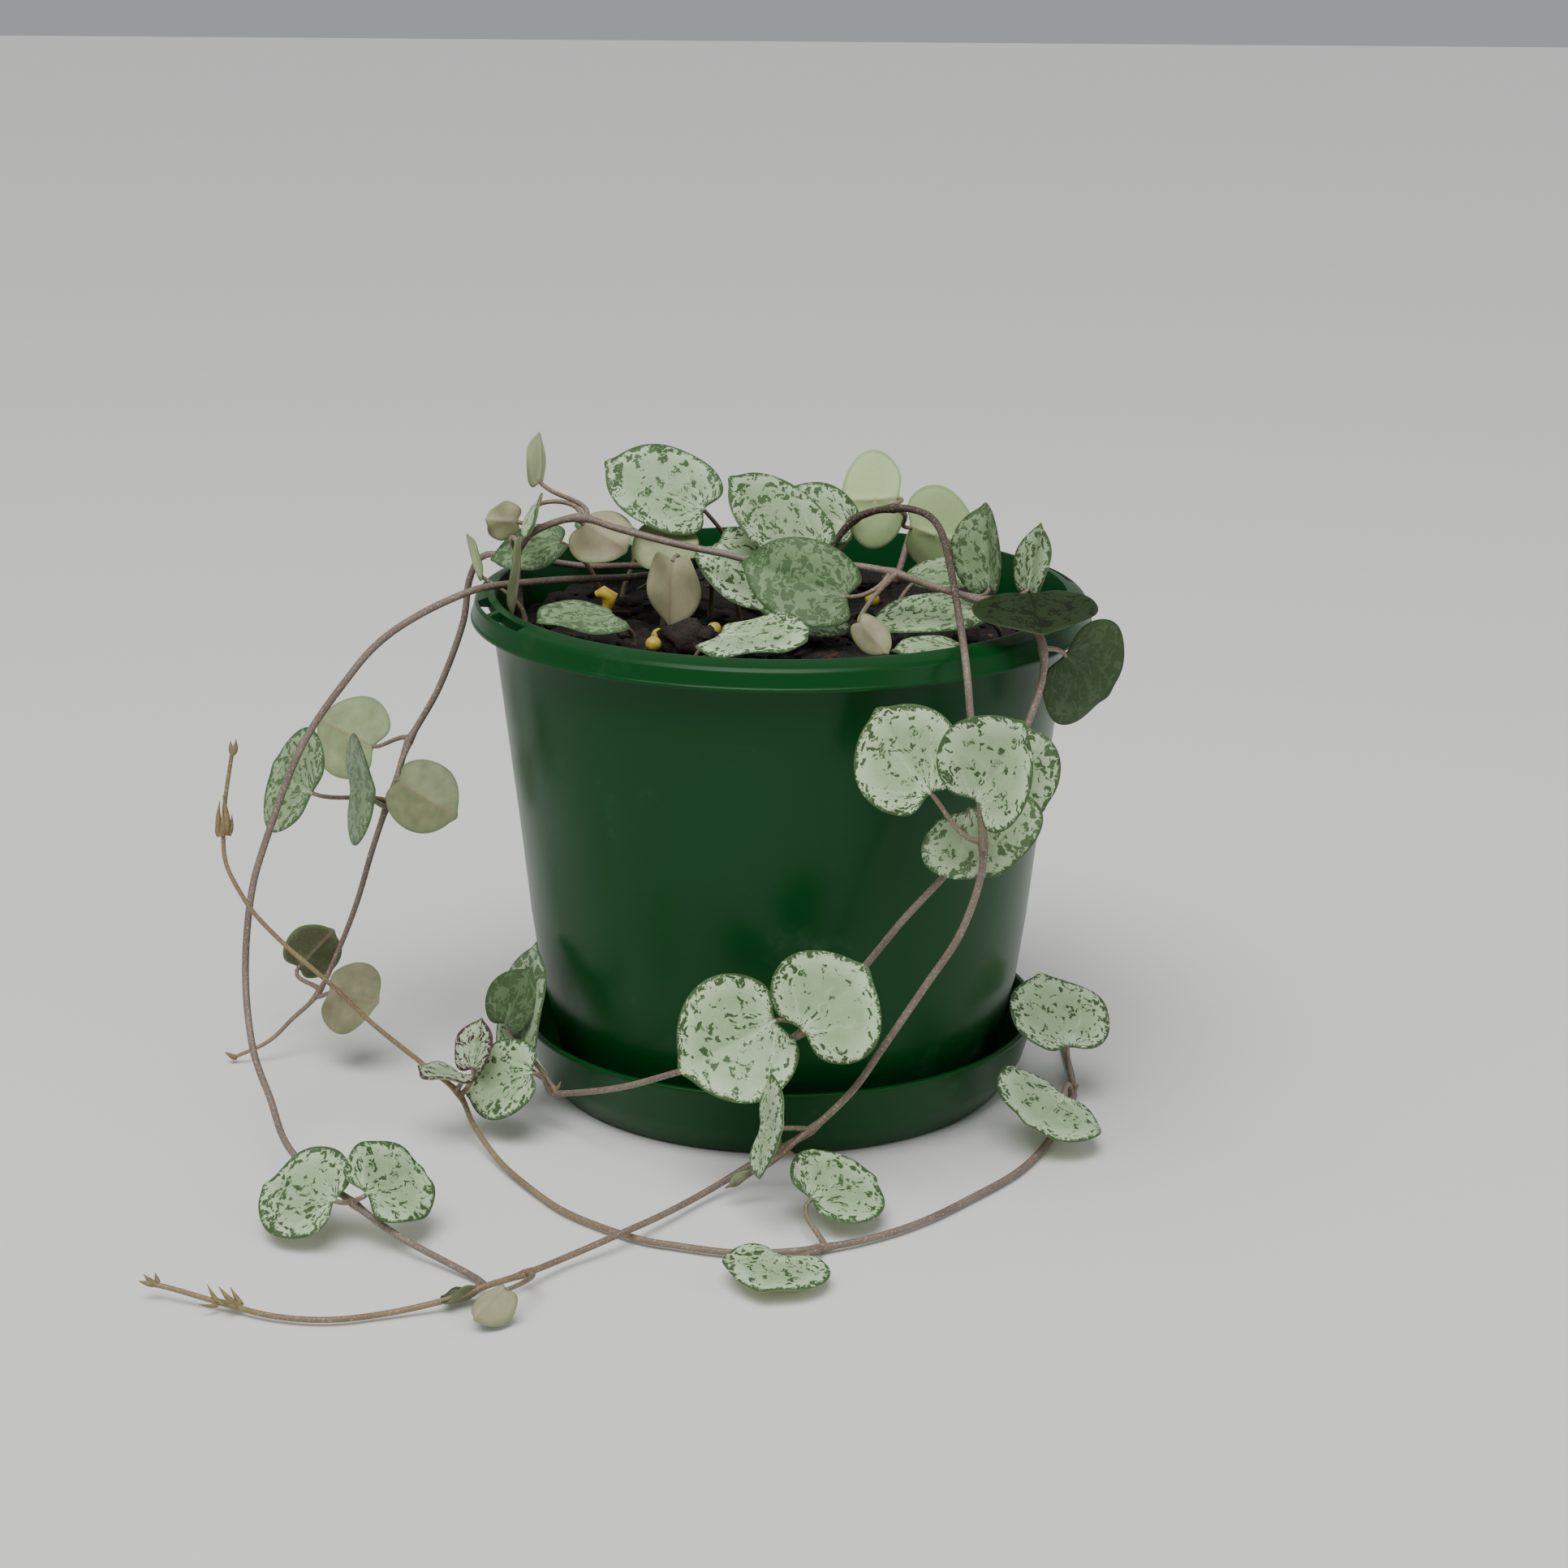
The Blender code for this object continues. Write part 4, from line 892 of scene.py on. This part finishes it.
rim_share = add(tree, "ShaderNodeMapRange", {"Value": split_veins.outputs[2], 1: 0.1, 2: 0.9,
                                             3: 0.55, 4: 0.0})
under_tone = both_sides
for share, tint in ((grain_share, "7c8a66"), (rib_share, "8d7766"), (rim_share, "6c8352")):
    under_tone = add(tree, "ShaderNodeMix", {
        FACTOR: share.outputs[0], FIRST_COLOUR: under_tone.outputs[MIXED],
        SECOND_COLOUR: linear(tint)}, data_type="RGBA")
tree.links.new(under_tone.outputs[MIXED], shader.inputs["Base Color"])
bump = add(tree, "ShaderNodeBump", {"Height": grain.outputs["Fac"], "Strength": 0.15,
                                    "Distance": 0.0002})
tree.links.new(bump.outputs[0], shader.inputs["Normal"])
shader.inputs["Roughness"].default_value = 0.55
shader.inputs["Specular IOR Level"].default_value = 0.3

# %% [markdown]
# ## The shape of a leaf
# The blade is a heart: two rounded lobes with a notch where the stalk joins, and a short
# point. A flat disc of rings and spokes is made by spinning a row of points. Each ring is then
# pushed out to the heart's outline, and the two faces are drawn together at the edge, so the
# leaf is a little under a millimetre thick in the middle and round at its rim, as a slightly
# fleshy leaf is. Last, the blade is folded along its midrib and put in its place.

# %% A disc of rings and spokes
RING_SHARES = (0.0, 0.1, 0.22, 0.35, 0.48, 0.6, 0.71, 0.81, 0.89, 0.95, 0.985, 1.0)
SPOKES = 72


def disc():
    """A flat disc of radius 1 that faces up."""
    mesh = bmesh.new()
    spoke = [mesh.verts.new((0, share, 0)) for share in RING_SHARES]
    edges = [mesh.edges.new(pair) for pair in zip(spoke, spoke[1:])]
    bmesh.ops.spin(mesh, geom=spoke + edges, cent=(0, 0, 0), axis=(0, 0, 1), dvec=(0, 0, 0),
                   angle=math.tau, steps=SPOKES, use_merge=True)
    bmesh.ops.remove_doubles(mesh, verts=mesh.verts, dist=0.0001)
    bmesh.ops.recalc_face_normals(mesh, faces=mesh.faces)
    if mesh.faces[:][0].normal.z < 0:
        bmesh.ops.reverse_faces(mesh, faces=mesh.faces)
    return mesh


# %% From disc to heart
NOTCH_DEPTH = 0.16
TIP_LENGTH = 0.05
# How far round the outline the notch and the tip reach, in radians.
NOTCH_SPREAD, TIP_SPREAD = 0.36, 0.16
BLADE_THICKNESS = 0.85
# The veins meet a little outside the blade, and a shallow groove runs over the midrib.
VEIN_ORIGIN = 0.6
GROOVE_DEPTH, GROOVE_WIDTH = 0.35, 0.8
STALK_RADIUS, STALK_SIDES = 0.42, 10
STALK_YOUTH = 0.35


def outline_point(angle, length, width):
    """A heart: two half ellipses, drawn in at the notch and drawn out at the tip."""
    middle = 0.40 * length
    notch = NOTCH_DEPTH * length
    tip = TIP_LENGTH * length
    cosine = math.cos(angle)
    x = width / 2 * math.sin(angle) * (1 - 0.1 * max(cosine, 0) ** 2)
    reach = length - tip - middle if cosine > 0 else middle + notch
    y = middle + reach * cosine
    y += notch * math.exp(-(((math.pi - abs(angle)) / NOTCH_SPREAD) ** 2))
    y += tip * math.exp(-((angle / TIP_SPREAD) ** 2))
    return x, y


def leaf_axes(heading, rise, roll):
    """The side, tip and upward directions of a leaf."""
    heading, rise, roll = math.radians(heading), math.radians(rise), math.radians(roll)
    flat = Vector((math.cos(heading), math.sin(heading), 0))
    tip = flat * math.cos(rise) + Vector((0, 0, math.sin(rise)))
    up = Vector((0, 0, math.cos(rise))) - flat * math.sin(rise)
    up = up * math.cos(roll) + tip.cross(up) * math.sin(roll)
    return tip.cross(up), tip, up


def stalk_start(name, source, spot, blade_base):
    """Where a stalk leaves its stem or the mix, and the way it sets off."""
    if source == "mix":
        return Vector(spot) - Vector((0, 0, 1.5)), Vector((0, 0, 1))
    route = [Vector(point) for point in VINES[source]]
    along = (route[min(spot + 1, len(route) - 1)] - route[max(spot - 1, 0)]).normalized()
    shared = [leaf for leaf, entry in LEAVES.items() if entry[:2] == (source, spot)]
    middle_place = (len(shared) - 1) / 2
    place = shared.index(name) - middle_place if name in shared else 0
    centre = route[spot] + along * place * 1.2
    out = blade_base - centre
    sideways = out - along * out.dot(along)
    if sideways.length < 0.5:
        sideways = Vector((0, 0, 1)) - along * along.z
    return centre + sideways.normalized() * SHOWN_RADIUS * 0.5, sideways.normalized()


def build_leaf(name, entry, look, replaced):
    """One leaf with its stalk, from its row in a table of leaves."""
    source, spot, base, heading, rise, roll, length, width, fold = entry
    silver, beige, young = look
    side, tip, up = leaf_axes(heading, rise, roll)
    base = Vector(base)
    slope = math.tan(math.radians(fold))
    narrow = math.cos(math.radians(fold))
    dice = random.Random("leaf " + name)
    own_number = dice.uniform(0, 90)
    waves = [(dice.choice((2, 3, 4, 5)), dice.uniform(0, math.tau), dice.uniform(0.1, 0.3))
             for _ in range(3)]
    middle = 0.42 * length

    mesh = disc()
    blade_layer = mesh.verts.layers.float_vector.new("blade")
    veins_layer = mesh.verts.layers.float_vector.new("veins")
    character_layer = mesh.verts.layers.float_vector.new("character")
    mesh.verts.layers.float.new("youth")
    halves = {}
    for point in mesh.verts:
        share = Vector((point.co.x, point.co.y)).length
        angle = math.atan2(point.co.x, point.co.y)
        rim_x, rim_y = outline_point(angle, length, width)
        x, y = rim_x * share, middle + (rim_y - middle) * share
        edge = (1 - share) * math.hypot(rim_x, rim_y - middle)
        point[blade_layer] = (x, y, own_number)
        from_origin = y + VEIN_ORIGIN
        point[veins_layer] = (math.atan2(x, from_origin), math.hypot(x, from_origin), edge)
        point[character_layer] = (silver, beige, young)
        lift = slope * (math.hypot(x, 1.5) - 1.5)
        lift += sum(size * share ** 3 * math.sin(count * angle + start)
                    for count, start, size in waves)
        lift -= GROOVE_DEPTH * math.exp(-(x / GROOVE_WIDTH) ** 2) * (1 - share ** 2)
        point.co = Vector((x * narrow, y, lift))
        halves[point] = BLADE_THICKNESS / 2 * math.sqrt(max(0.0, 1 - share ** 5))
    copy = bmesh.ops.duplicate(mesh, geom=mesh.faces[:] + mesh.edges[:] + mesh.verts[:])
    lower = copy["vert_map"]
    for point, half in halves.items():
        point.co.z += half
        lower[point].co.z -= half
    under_faces = [g for g in copy["geom"] if isinstance(g, bmesh.types.BMFace)]
    bmesh.ops.reverse_faces(mesh, faces=under_faces)
    for face in under_faces:
        face.material_index = 1
    bmesh.ops.remove_doubles(mesh, verts=mesh.verts, dist=0.0005)
    for point in mesh.verts:
        point.co = base + side * point.co.x + tip * point.co.y + up * point.co.z

    # The stalk leaves under the notch and bends down to its stem.
    start, outward = stalk_start(name, source, spot, base)
    reach = (start - base).length
    lean = math.copysign(min(3.0, reach * 0.25), (start - base).dot(up))
    controls = (
        base + tip * 0.5 - up * 0.1,
        base - tip * min(3.0, reach * 0.3) + up * lean,
        start + outward * reach * 0.35,
        start,
    )
    steps = max(8, round(reach))
    centres = []
    for step in range(steps + 1):
        t = step / steps
        s = 1 - t
        centres.append(controls[0] * s ** 3 + controls[1] * 3 * s * s * t
                       + controls[2] * 3 * s * t * t + controls[3] * t ** 3)
    # It thickens slowly, and at once where it joins the stem.
    shares = [step / steps for step in range(steps + 1)]
    radii = [STALK_RADIUS + 0.08 * share + 0.14 * share ** 8 for share in shares]
    skin(mesh, centres, radii, STALK_SIDES, [STALK_YOUTH] * (steps + 1), 2, side)
    bmesh.ops.recalc_face_normals(mesh, faces=[f for f in mesh.faces if f.material_index == 2])
    return finished(name.replace("leaf_", "heart_"), mesh, [leaf_top, leaf_under, stem_skin],
                    replaced, 60)


# %% [markdown]
# ## The look of each leaf
# No two leaves are marbled alike. Leaves that grew in the shade of others are greener, and the
# lower silver given to leaves that lie in shade also darkens them, as painted shade. Two large
# ones by the right of the rim are almost plain dark green, partly as painted shade, and the
# smallest ones at the growing ends are still purplish. Only the leaves that differ from the usual
# are listed.

# %% Silver, beige below and youth
USUAL_LOOK = (0.85, 0.35, 0.0)
# Low silver values, as on leaf_c7, leaf_c8 and leaf_c11, are partly painted shade for leaves that
# lie in shade.
LOOKS = {
    "leaf_a1": (0.74, 0.3, 0), "leaf_a2": (0.72, 0.3, 0),
    "leaf_b1": (1.0, 0.0, 0), "leaf_b2": (1.1, 0.0, 0), "leaf_b3": (0.7, 0.3, 0),
    "leaf_b4": (0.95, 0.3, 0), "leaf_b5": (0.9, 0.3, 0), "leaf_b6": (0.7, 0.3, 0),
    "leaf_b7": (0.6, 0.8, 0.2),
    "leaf_c3": (1.0, 0.3, 0), "leaf_c4": (1.0, 0.3, 0),
    "leaf_c1": (0.5, 0.3, 0), "leaf_c2": (0.7, 0.3, 0), "leaf_c5": (0.65, 0.3, 0),
    "leaf_c6": (0.55, 0.3, 0), "leaf_c7": (0.0, 0.3, 0), "leaf_c8": (0.09, 0.3, 0),
    "leaf_c9": (0.42, 0.3, 0),
    "leaf_c10": (0.6, 0.3, 0), "leaf_c11": (0.3, 0.3, 0), "leaf_c12": (0.4, 0.9, 0),
    "leaf_c13": (0.6, 1.0, 0), "leaf_c16": (0.6, 0.6, 0), "leaf_c17": (0.9, 0.9, 0),
    "leaf_d1": (0.9, 0.3, 0), "leaf_d2": (0.9, 0.3, 0), "leaf_d3": (0.7, 0.3, 0),
    "leaf_d5": (0.7, 0.5, 1.0), "leaf_d6": (0.62, 0.5, 1.0),
    "leaf_e1": (0.4, 0.25, 0), "leaf_e2": (0.3, 0.4, 0), "leaf_e3": (0.45, 0.3, 0),
    "leaf_e4": (0.3, 0.3, 0), "leaf_e5": (0.0, 0.5, 0), "leaf_e6": (0.25, 0.9, 0),
    "leaf_p1": (0.7, 0.3, 0), "leaf_p2": (0.5, 0.5, 0), "leaf_p3": (0.66, 0.3, 0),
    "leaf_p4": (0.8, 0.3, 0), "leaf_p5": (0.65, 1.0, 0), "leaf_p6": (0.35, 0.3, 0),
    "leaf_p7": (0.8, 0.3, 0), "leaf_p8": (0.6, 0.3, 0), "leaf_p9": (0.6, 0.3, 0),
    "leaf_p10": (0.6, 0.3, 0), "leaf_p11": (0.3, 0.3, 0),
}


for name, entry in LEAVES.items():
    build_leaf(name, entry, LOOKS.get(name, USUAL_LOOK), [name])
print("leaves made:", len(LEAVES))

# %% [markdown]
# ## Small leaves that only show
# A few slivers and new leaves sit behind or between the large ones. They are too small to
# matter for weight or contact, so they are added here only, in the same way.

# %% New leaves and slivers
SMALL_LEAVES = {
    "new_leaf_behind": ("vine_c", 29, (-52.5, -27.5, 19), 20, 65, 40, 12, 12, 20),
    "new_leaf_floor": ("vine_a", 20, (-51.0, -110.0, 1.8), -140, 4, 25, 7, 7, 35),
    "sliver_by_node": ("vine_b", 18, (-4.5, -68, 6.5), -155, -25, 80, 6, 2.6, 30),
    "sliver_rim_left": ("mix", (-50, 4, 92.5), (-58.5, 3, 100), 130, 65, 70, 9, 4, 30),
    "shade_leaf_low": ("mix", (-14, 8, 92.5), (-16, 3, 103), -150, -15, 30, 14, 13, 6),
    "shade_leaf_back": ("mix", (4, 22, 92.5), (2, 24, 103), 70, 10, -10, 16, 15, 6),
    "shade_leaf_right": ("mix", (22, 2, 92.5), (26, 4, 100), 10, 5, 10, 16, 15, 6),
    "shade_leaf_far": ("mix", (-32, 26, 92.5), (-30, 28, 101), 140, 15, 5, 15, 15, 6),
}
SMALL_LOOKS = {"new_leaf_behind": (0.15, 0.5, 0.0), "new_leaf_floor": (0.12, 0.6, 0.6),
               "sliver_by_node": (0.1, 0.6, 1.0)}
for name, entry in SMALL_LEAVES.items():
    build_leaf(name, entry, SMALL_LOOKS.get(name, (0.5, 0.4, 0.0)), ())

# %% [markdown]
# ## Buds, bracts, prills and a tuber
# The growing ends carry a cluster of tiny pointed bracts and buds. On the mix lie a few
# yellow prills of slow-release feed, a shrivelled yellow leaf, and the top of one of the
# knobbly tubers that store the plant's water.

# %% Their finishes
bud_skin, tree, shader = new_material("bud_skin")
place = add(tree, "ShaderNodeTexCoord", {}).outputs["Object"]
mottling = add(tree, "ShaderNodeTexNoise", {"Vector": place, "Scale": 900.0, "Detail": 3.0})
tone = add(tree, "ShaderNodeMix", {FACTOR: mottling.outputs["Fac"], FIRST_COLOUR: linear("54492c"),
                                   SECOND_COLOUR: linear("a08f62")}, data_type="RGBA")
tree.links.new(tone.outputs[MIXED], shader.inputs["Base Color"])
shader.inputs["Roughness"].default_value = 0.6

prill_resin, tree, shader = new_material("prill_resin")
place = add(tree, "ShaderNodeTexCoord", {}).outputs["Object"]
mottling = add(tree, "ShaderNodeTexNoise", {"Vector": place, "Scale": 500.0, "Detail": 3.0})
tone = add(tree, "ShaderNodeMix", {FACTOR: mottling.outputs["Fac"], FIRST_COLOUR: linear("a88a22"),
                                   SECOND_COLOUR: linear("d9bf52")}, data_type="RGBA")
tree.links.new(tone.outputs[MIXED], shader.inputs["Base Color"])
shader.inputs["Roughness"].default_value = 0.35

# %% Bract clusters
def bract(mesh, base, direction, length, radius):
    """A pointed scale: a cone drawn out along its direction and bent back a little."""
    scale = bmesh.new()
    bmesh.ops.create_cone(scale, cap_ends=True, segments=10, radius1=radius,
                          radius2=radius * 0.15, depth=length)
    upright = [e for e in scale.edges if abs(e.verts[0].co.z - e.verts[1].co.z) > length / 2]
    bmesh.ops.subdivide_edges(scale, edges=upright, cuts=4, use_grid_fill=False)
    for point in scale.verts:
        share = point.co.z / length + 0.5
        swell = 1 + 0.7 * math.sin(math.pi * share)
        point.co = Vector((point.co.x * swell + 0.25 * length * share ** 2, point.co.y * swell,
                           point.co.z + length / 2))
    turn = Vector(direction).to_track_quat("Z", "X").to_matrix()
    bmesh.ops.rotate(scale, verts=scale.verts, cent=(0, 0, 0), matrix=turn)
    bmesh.ops.translate(scale, verts=scale.verts, vec=base)
    pour(mesh, scale)


# Each cluster: a point of a stem, and its bracts as (offset, direction, length, radius).
BRACTS = {
    "bracts_rising_end": ("vine_d", 35, (
        ((-0.5, 0, -0.3), (-0.22, 0, 1), 6.6, 0.55), ((0.6, 0, 0), (0.16, -0.1, 1), 7.4, 0.62),
        ((0.1, -0.5, 0), (0.02, -0.2, 1), 4.2, 0.5), ((1.0, 0.2, -0.2), (0.45, 0, 1), 4.0, 0.45),
        ((-0.8, 0, -0.4), (-0.4, 0, 1), 2.8, 0.4), ((0.2, 0.4, 0), (0.1, 0.3, 1), 3.4, 0.5))),
    "bracts_rising_tip": ("vine_d", 37, (
        ((0, 0, -0.4), (-0.35, 0, 1), 2.4, 0.45), ((0.2, 0, -0.4), (0.5, 0, 1), 2.7, 0.5),
        ((0.1, -0.2, -0.6), (0.1, -0.3, 1), 1.8, 0.4))),
    "bracts_front_end": ("vine_b", 31, (
        ((1.2, 0, 0), (-1, 0.55, 0.45), 4.4, 0.5), ((1.4, 0.2, 0), (-1, -0.6, 0.35), 4.2, 0.5),
        ((2, 0, 0.2), (-0.8, 1.0, 0.3), 4.0, 0.42), ((2, 0, 0), (-0.9, -0.9, 0.15), 3.8, 0.42),
        ((-2, 0.5, 0.3), (-1, 0.9, 0.7), 3.6, 0.35), ((-2, 0, 0), (-1, -0.7, 0.1), 3.6, 0.3))),
    "bracts_front_tip": ("vine_b", 33, (
        ((0.6, 0, -0.2), (-1, 0.3, 0.5), 2.6, 0.5), ((0.6, 0, 0), (-1, -0.4, 0.1), 2.8, 0.5),
        ((1.2, 0, 0.2), (-0.6, 0.2, 1), 1.8, 0.4))),
    "bracts_left_end": ("vine_e", 18, (
        ((0.8, 0, 0), (-1, -0.3, 0.3), 2.6, 0.5), ((0.6, 0, 0), (-1, 0.5, 0.1), 2.4, 0.45))),
    "bracts_front_node": ("vine_b", 19, (
        ((0.5, 0, 0.4), (0.8, -0.4, -0.5), 3.4, 0.4), ((0, 0, 0.5), (0.2, -0.5, 0.9), 2.4, 0.4))),
    "bracts_right_node": ("vine_d", 12, (
        ((0, 0, 0.5), (0.6, -0.3, 0.8), 2.6, 0.4), ((0, 0, 0.3), (-0.5, -0.4, 0.6), 2.2, 0.35))),
    "bracts_left_node": ("vine_c", 29, (
        ((0, 0, 0.5), (0.5, -0.4, 0.7), 2.8, 0.45), ((0, 0, 0.4), (-0.6, -0.2, 0.6), 2.2, 0.35))),
}
for name, (stem, spot, scales) in BRACTS.items():
    mesh = bmesh.new()
    centre = Vector(VINES[stem][spot])
    for offset, direction, length, radius in scales:
        bract(mesh, centre + Vector(offset), direction, length, radius)
    bmesh.ops.recalc_face_normals(mesh, faces=mesh.faces)
    finished(name, mesh, [bud_skin], smooth_angle=60)
print("bract clusters:", len(BRACTS))

# %% Prills, the tuber and the shrivelled leaf
def pebble(mesh, place, size, squash, rough, dice):
    """A lumpy ball."""
    ball = bmesh.new()
    bmesh.ops.create_icosphere(ball, subdivisions=3, radius=size)
    shift = Vector([dice.uniform(0, 50) for _ in range(3)])
    for point in ball.verts:
        point.co *= 1 + rough * noise.noise(point.co * (1.6 / size) + shift)
        point.co.z *= squash
    bmesh.ops.translate(ball, verts=ball.verts, vec=place)
    pour(mesh, ball)


dice = random.Random(4)
prills = bmesh.new()
for place in ((-23.0, -18.3, 94.0), (-23.8, -25.4, 94.2), (-12.7, -15.6, 94.6), (18, 12, 94),
              (-2, 34, 94), (33, -30, 94)):
    pebble(prills, place, 1.5, 0.95, 0.08, dice)
finished("feed_prills", prills, [prill_resin], smooth_angle=60)
tuber = bmesh.new()
pebble(tuber, (-17.8, -22.4, 94.2), 4.6, 0.8, 0.55, dice)
pebble(tuber, (-13.8, -23.0, 94.8), 2.6, 0.8, 0.6, dice)
finished("tuber_top", tuber, [bark], smooth_angle=60)
shrivelled = bmesh.new()
skin(shrivelled, [Vector(p) for p in ((-35.5, -4.5, 98.6), (-34.2, -5, 99.2), (-33, -4.6, 98.2),
                                      (-33.4, -4.8, 96.4), (-34.6, -5.2, 95.0))],
     [0.7, 1.3, 1.7, 1.1, 0.5], 10, [1] * 5)
bmesh.ops.recalc_face_normals(shrivelled, faces=shrivelled.faces)
finished("shrivelled_leaf", shrivelled, [prill_resin], smooth_angle=60)

# %% [markdown]
# ## Measure
# The two boxes, of the model and of the finished look, are printed side by side, so that one can
# compare them.

# %% Print the sizes and finish
looks_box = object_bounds()
for label, box in (("model", cad_box), ("look", looks_box)):
    print(label, [round(v * 1000, 1) for v in box[0]], [round(v * 1000, 1) for v in box[1]])
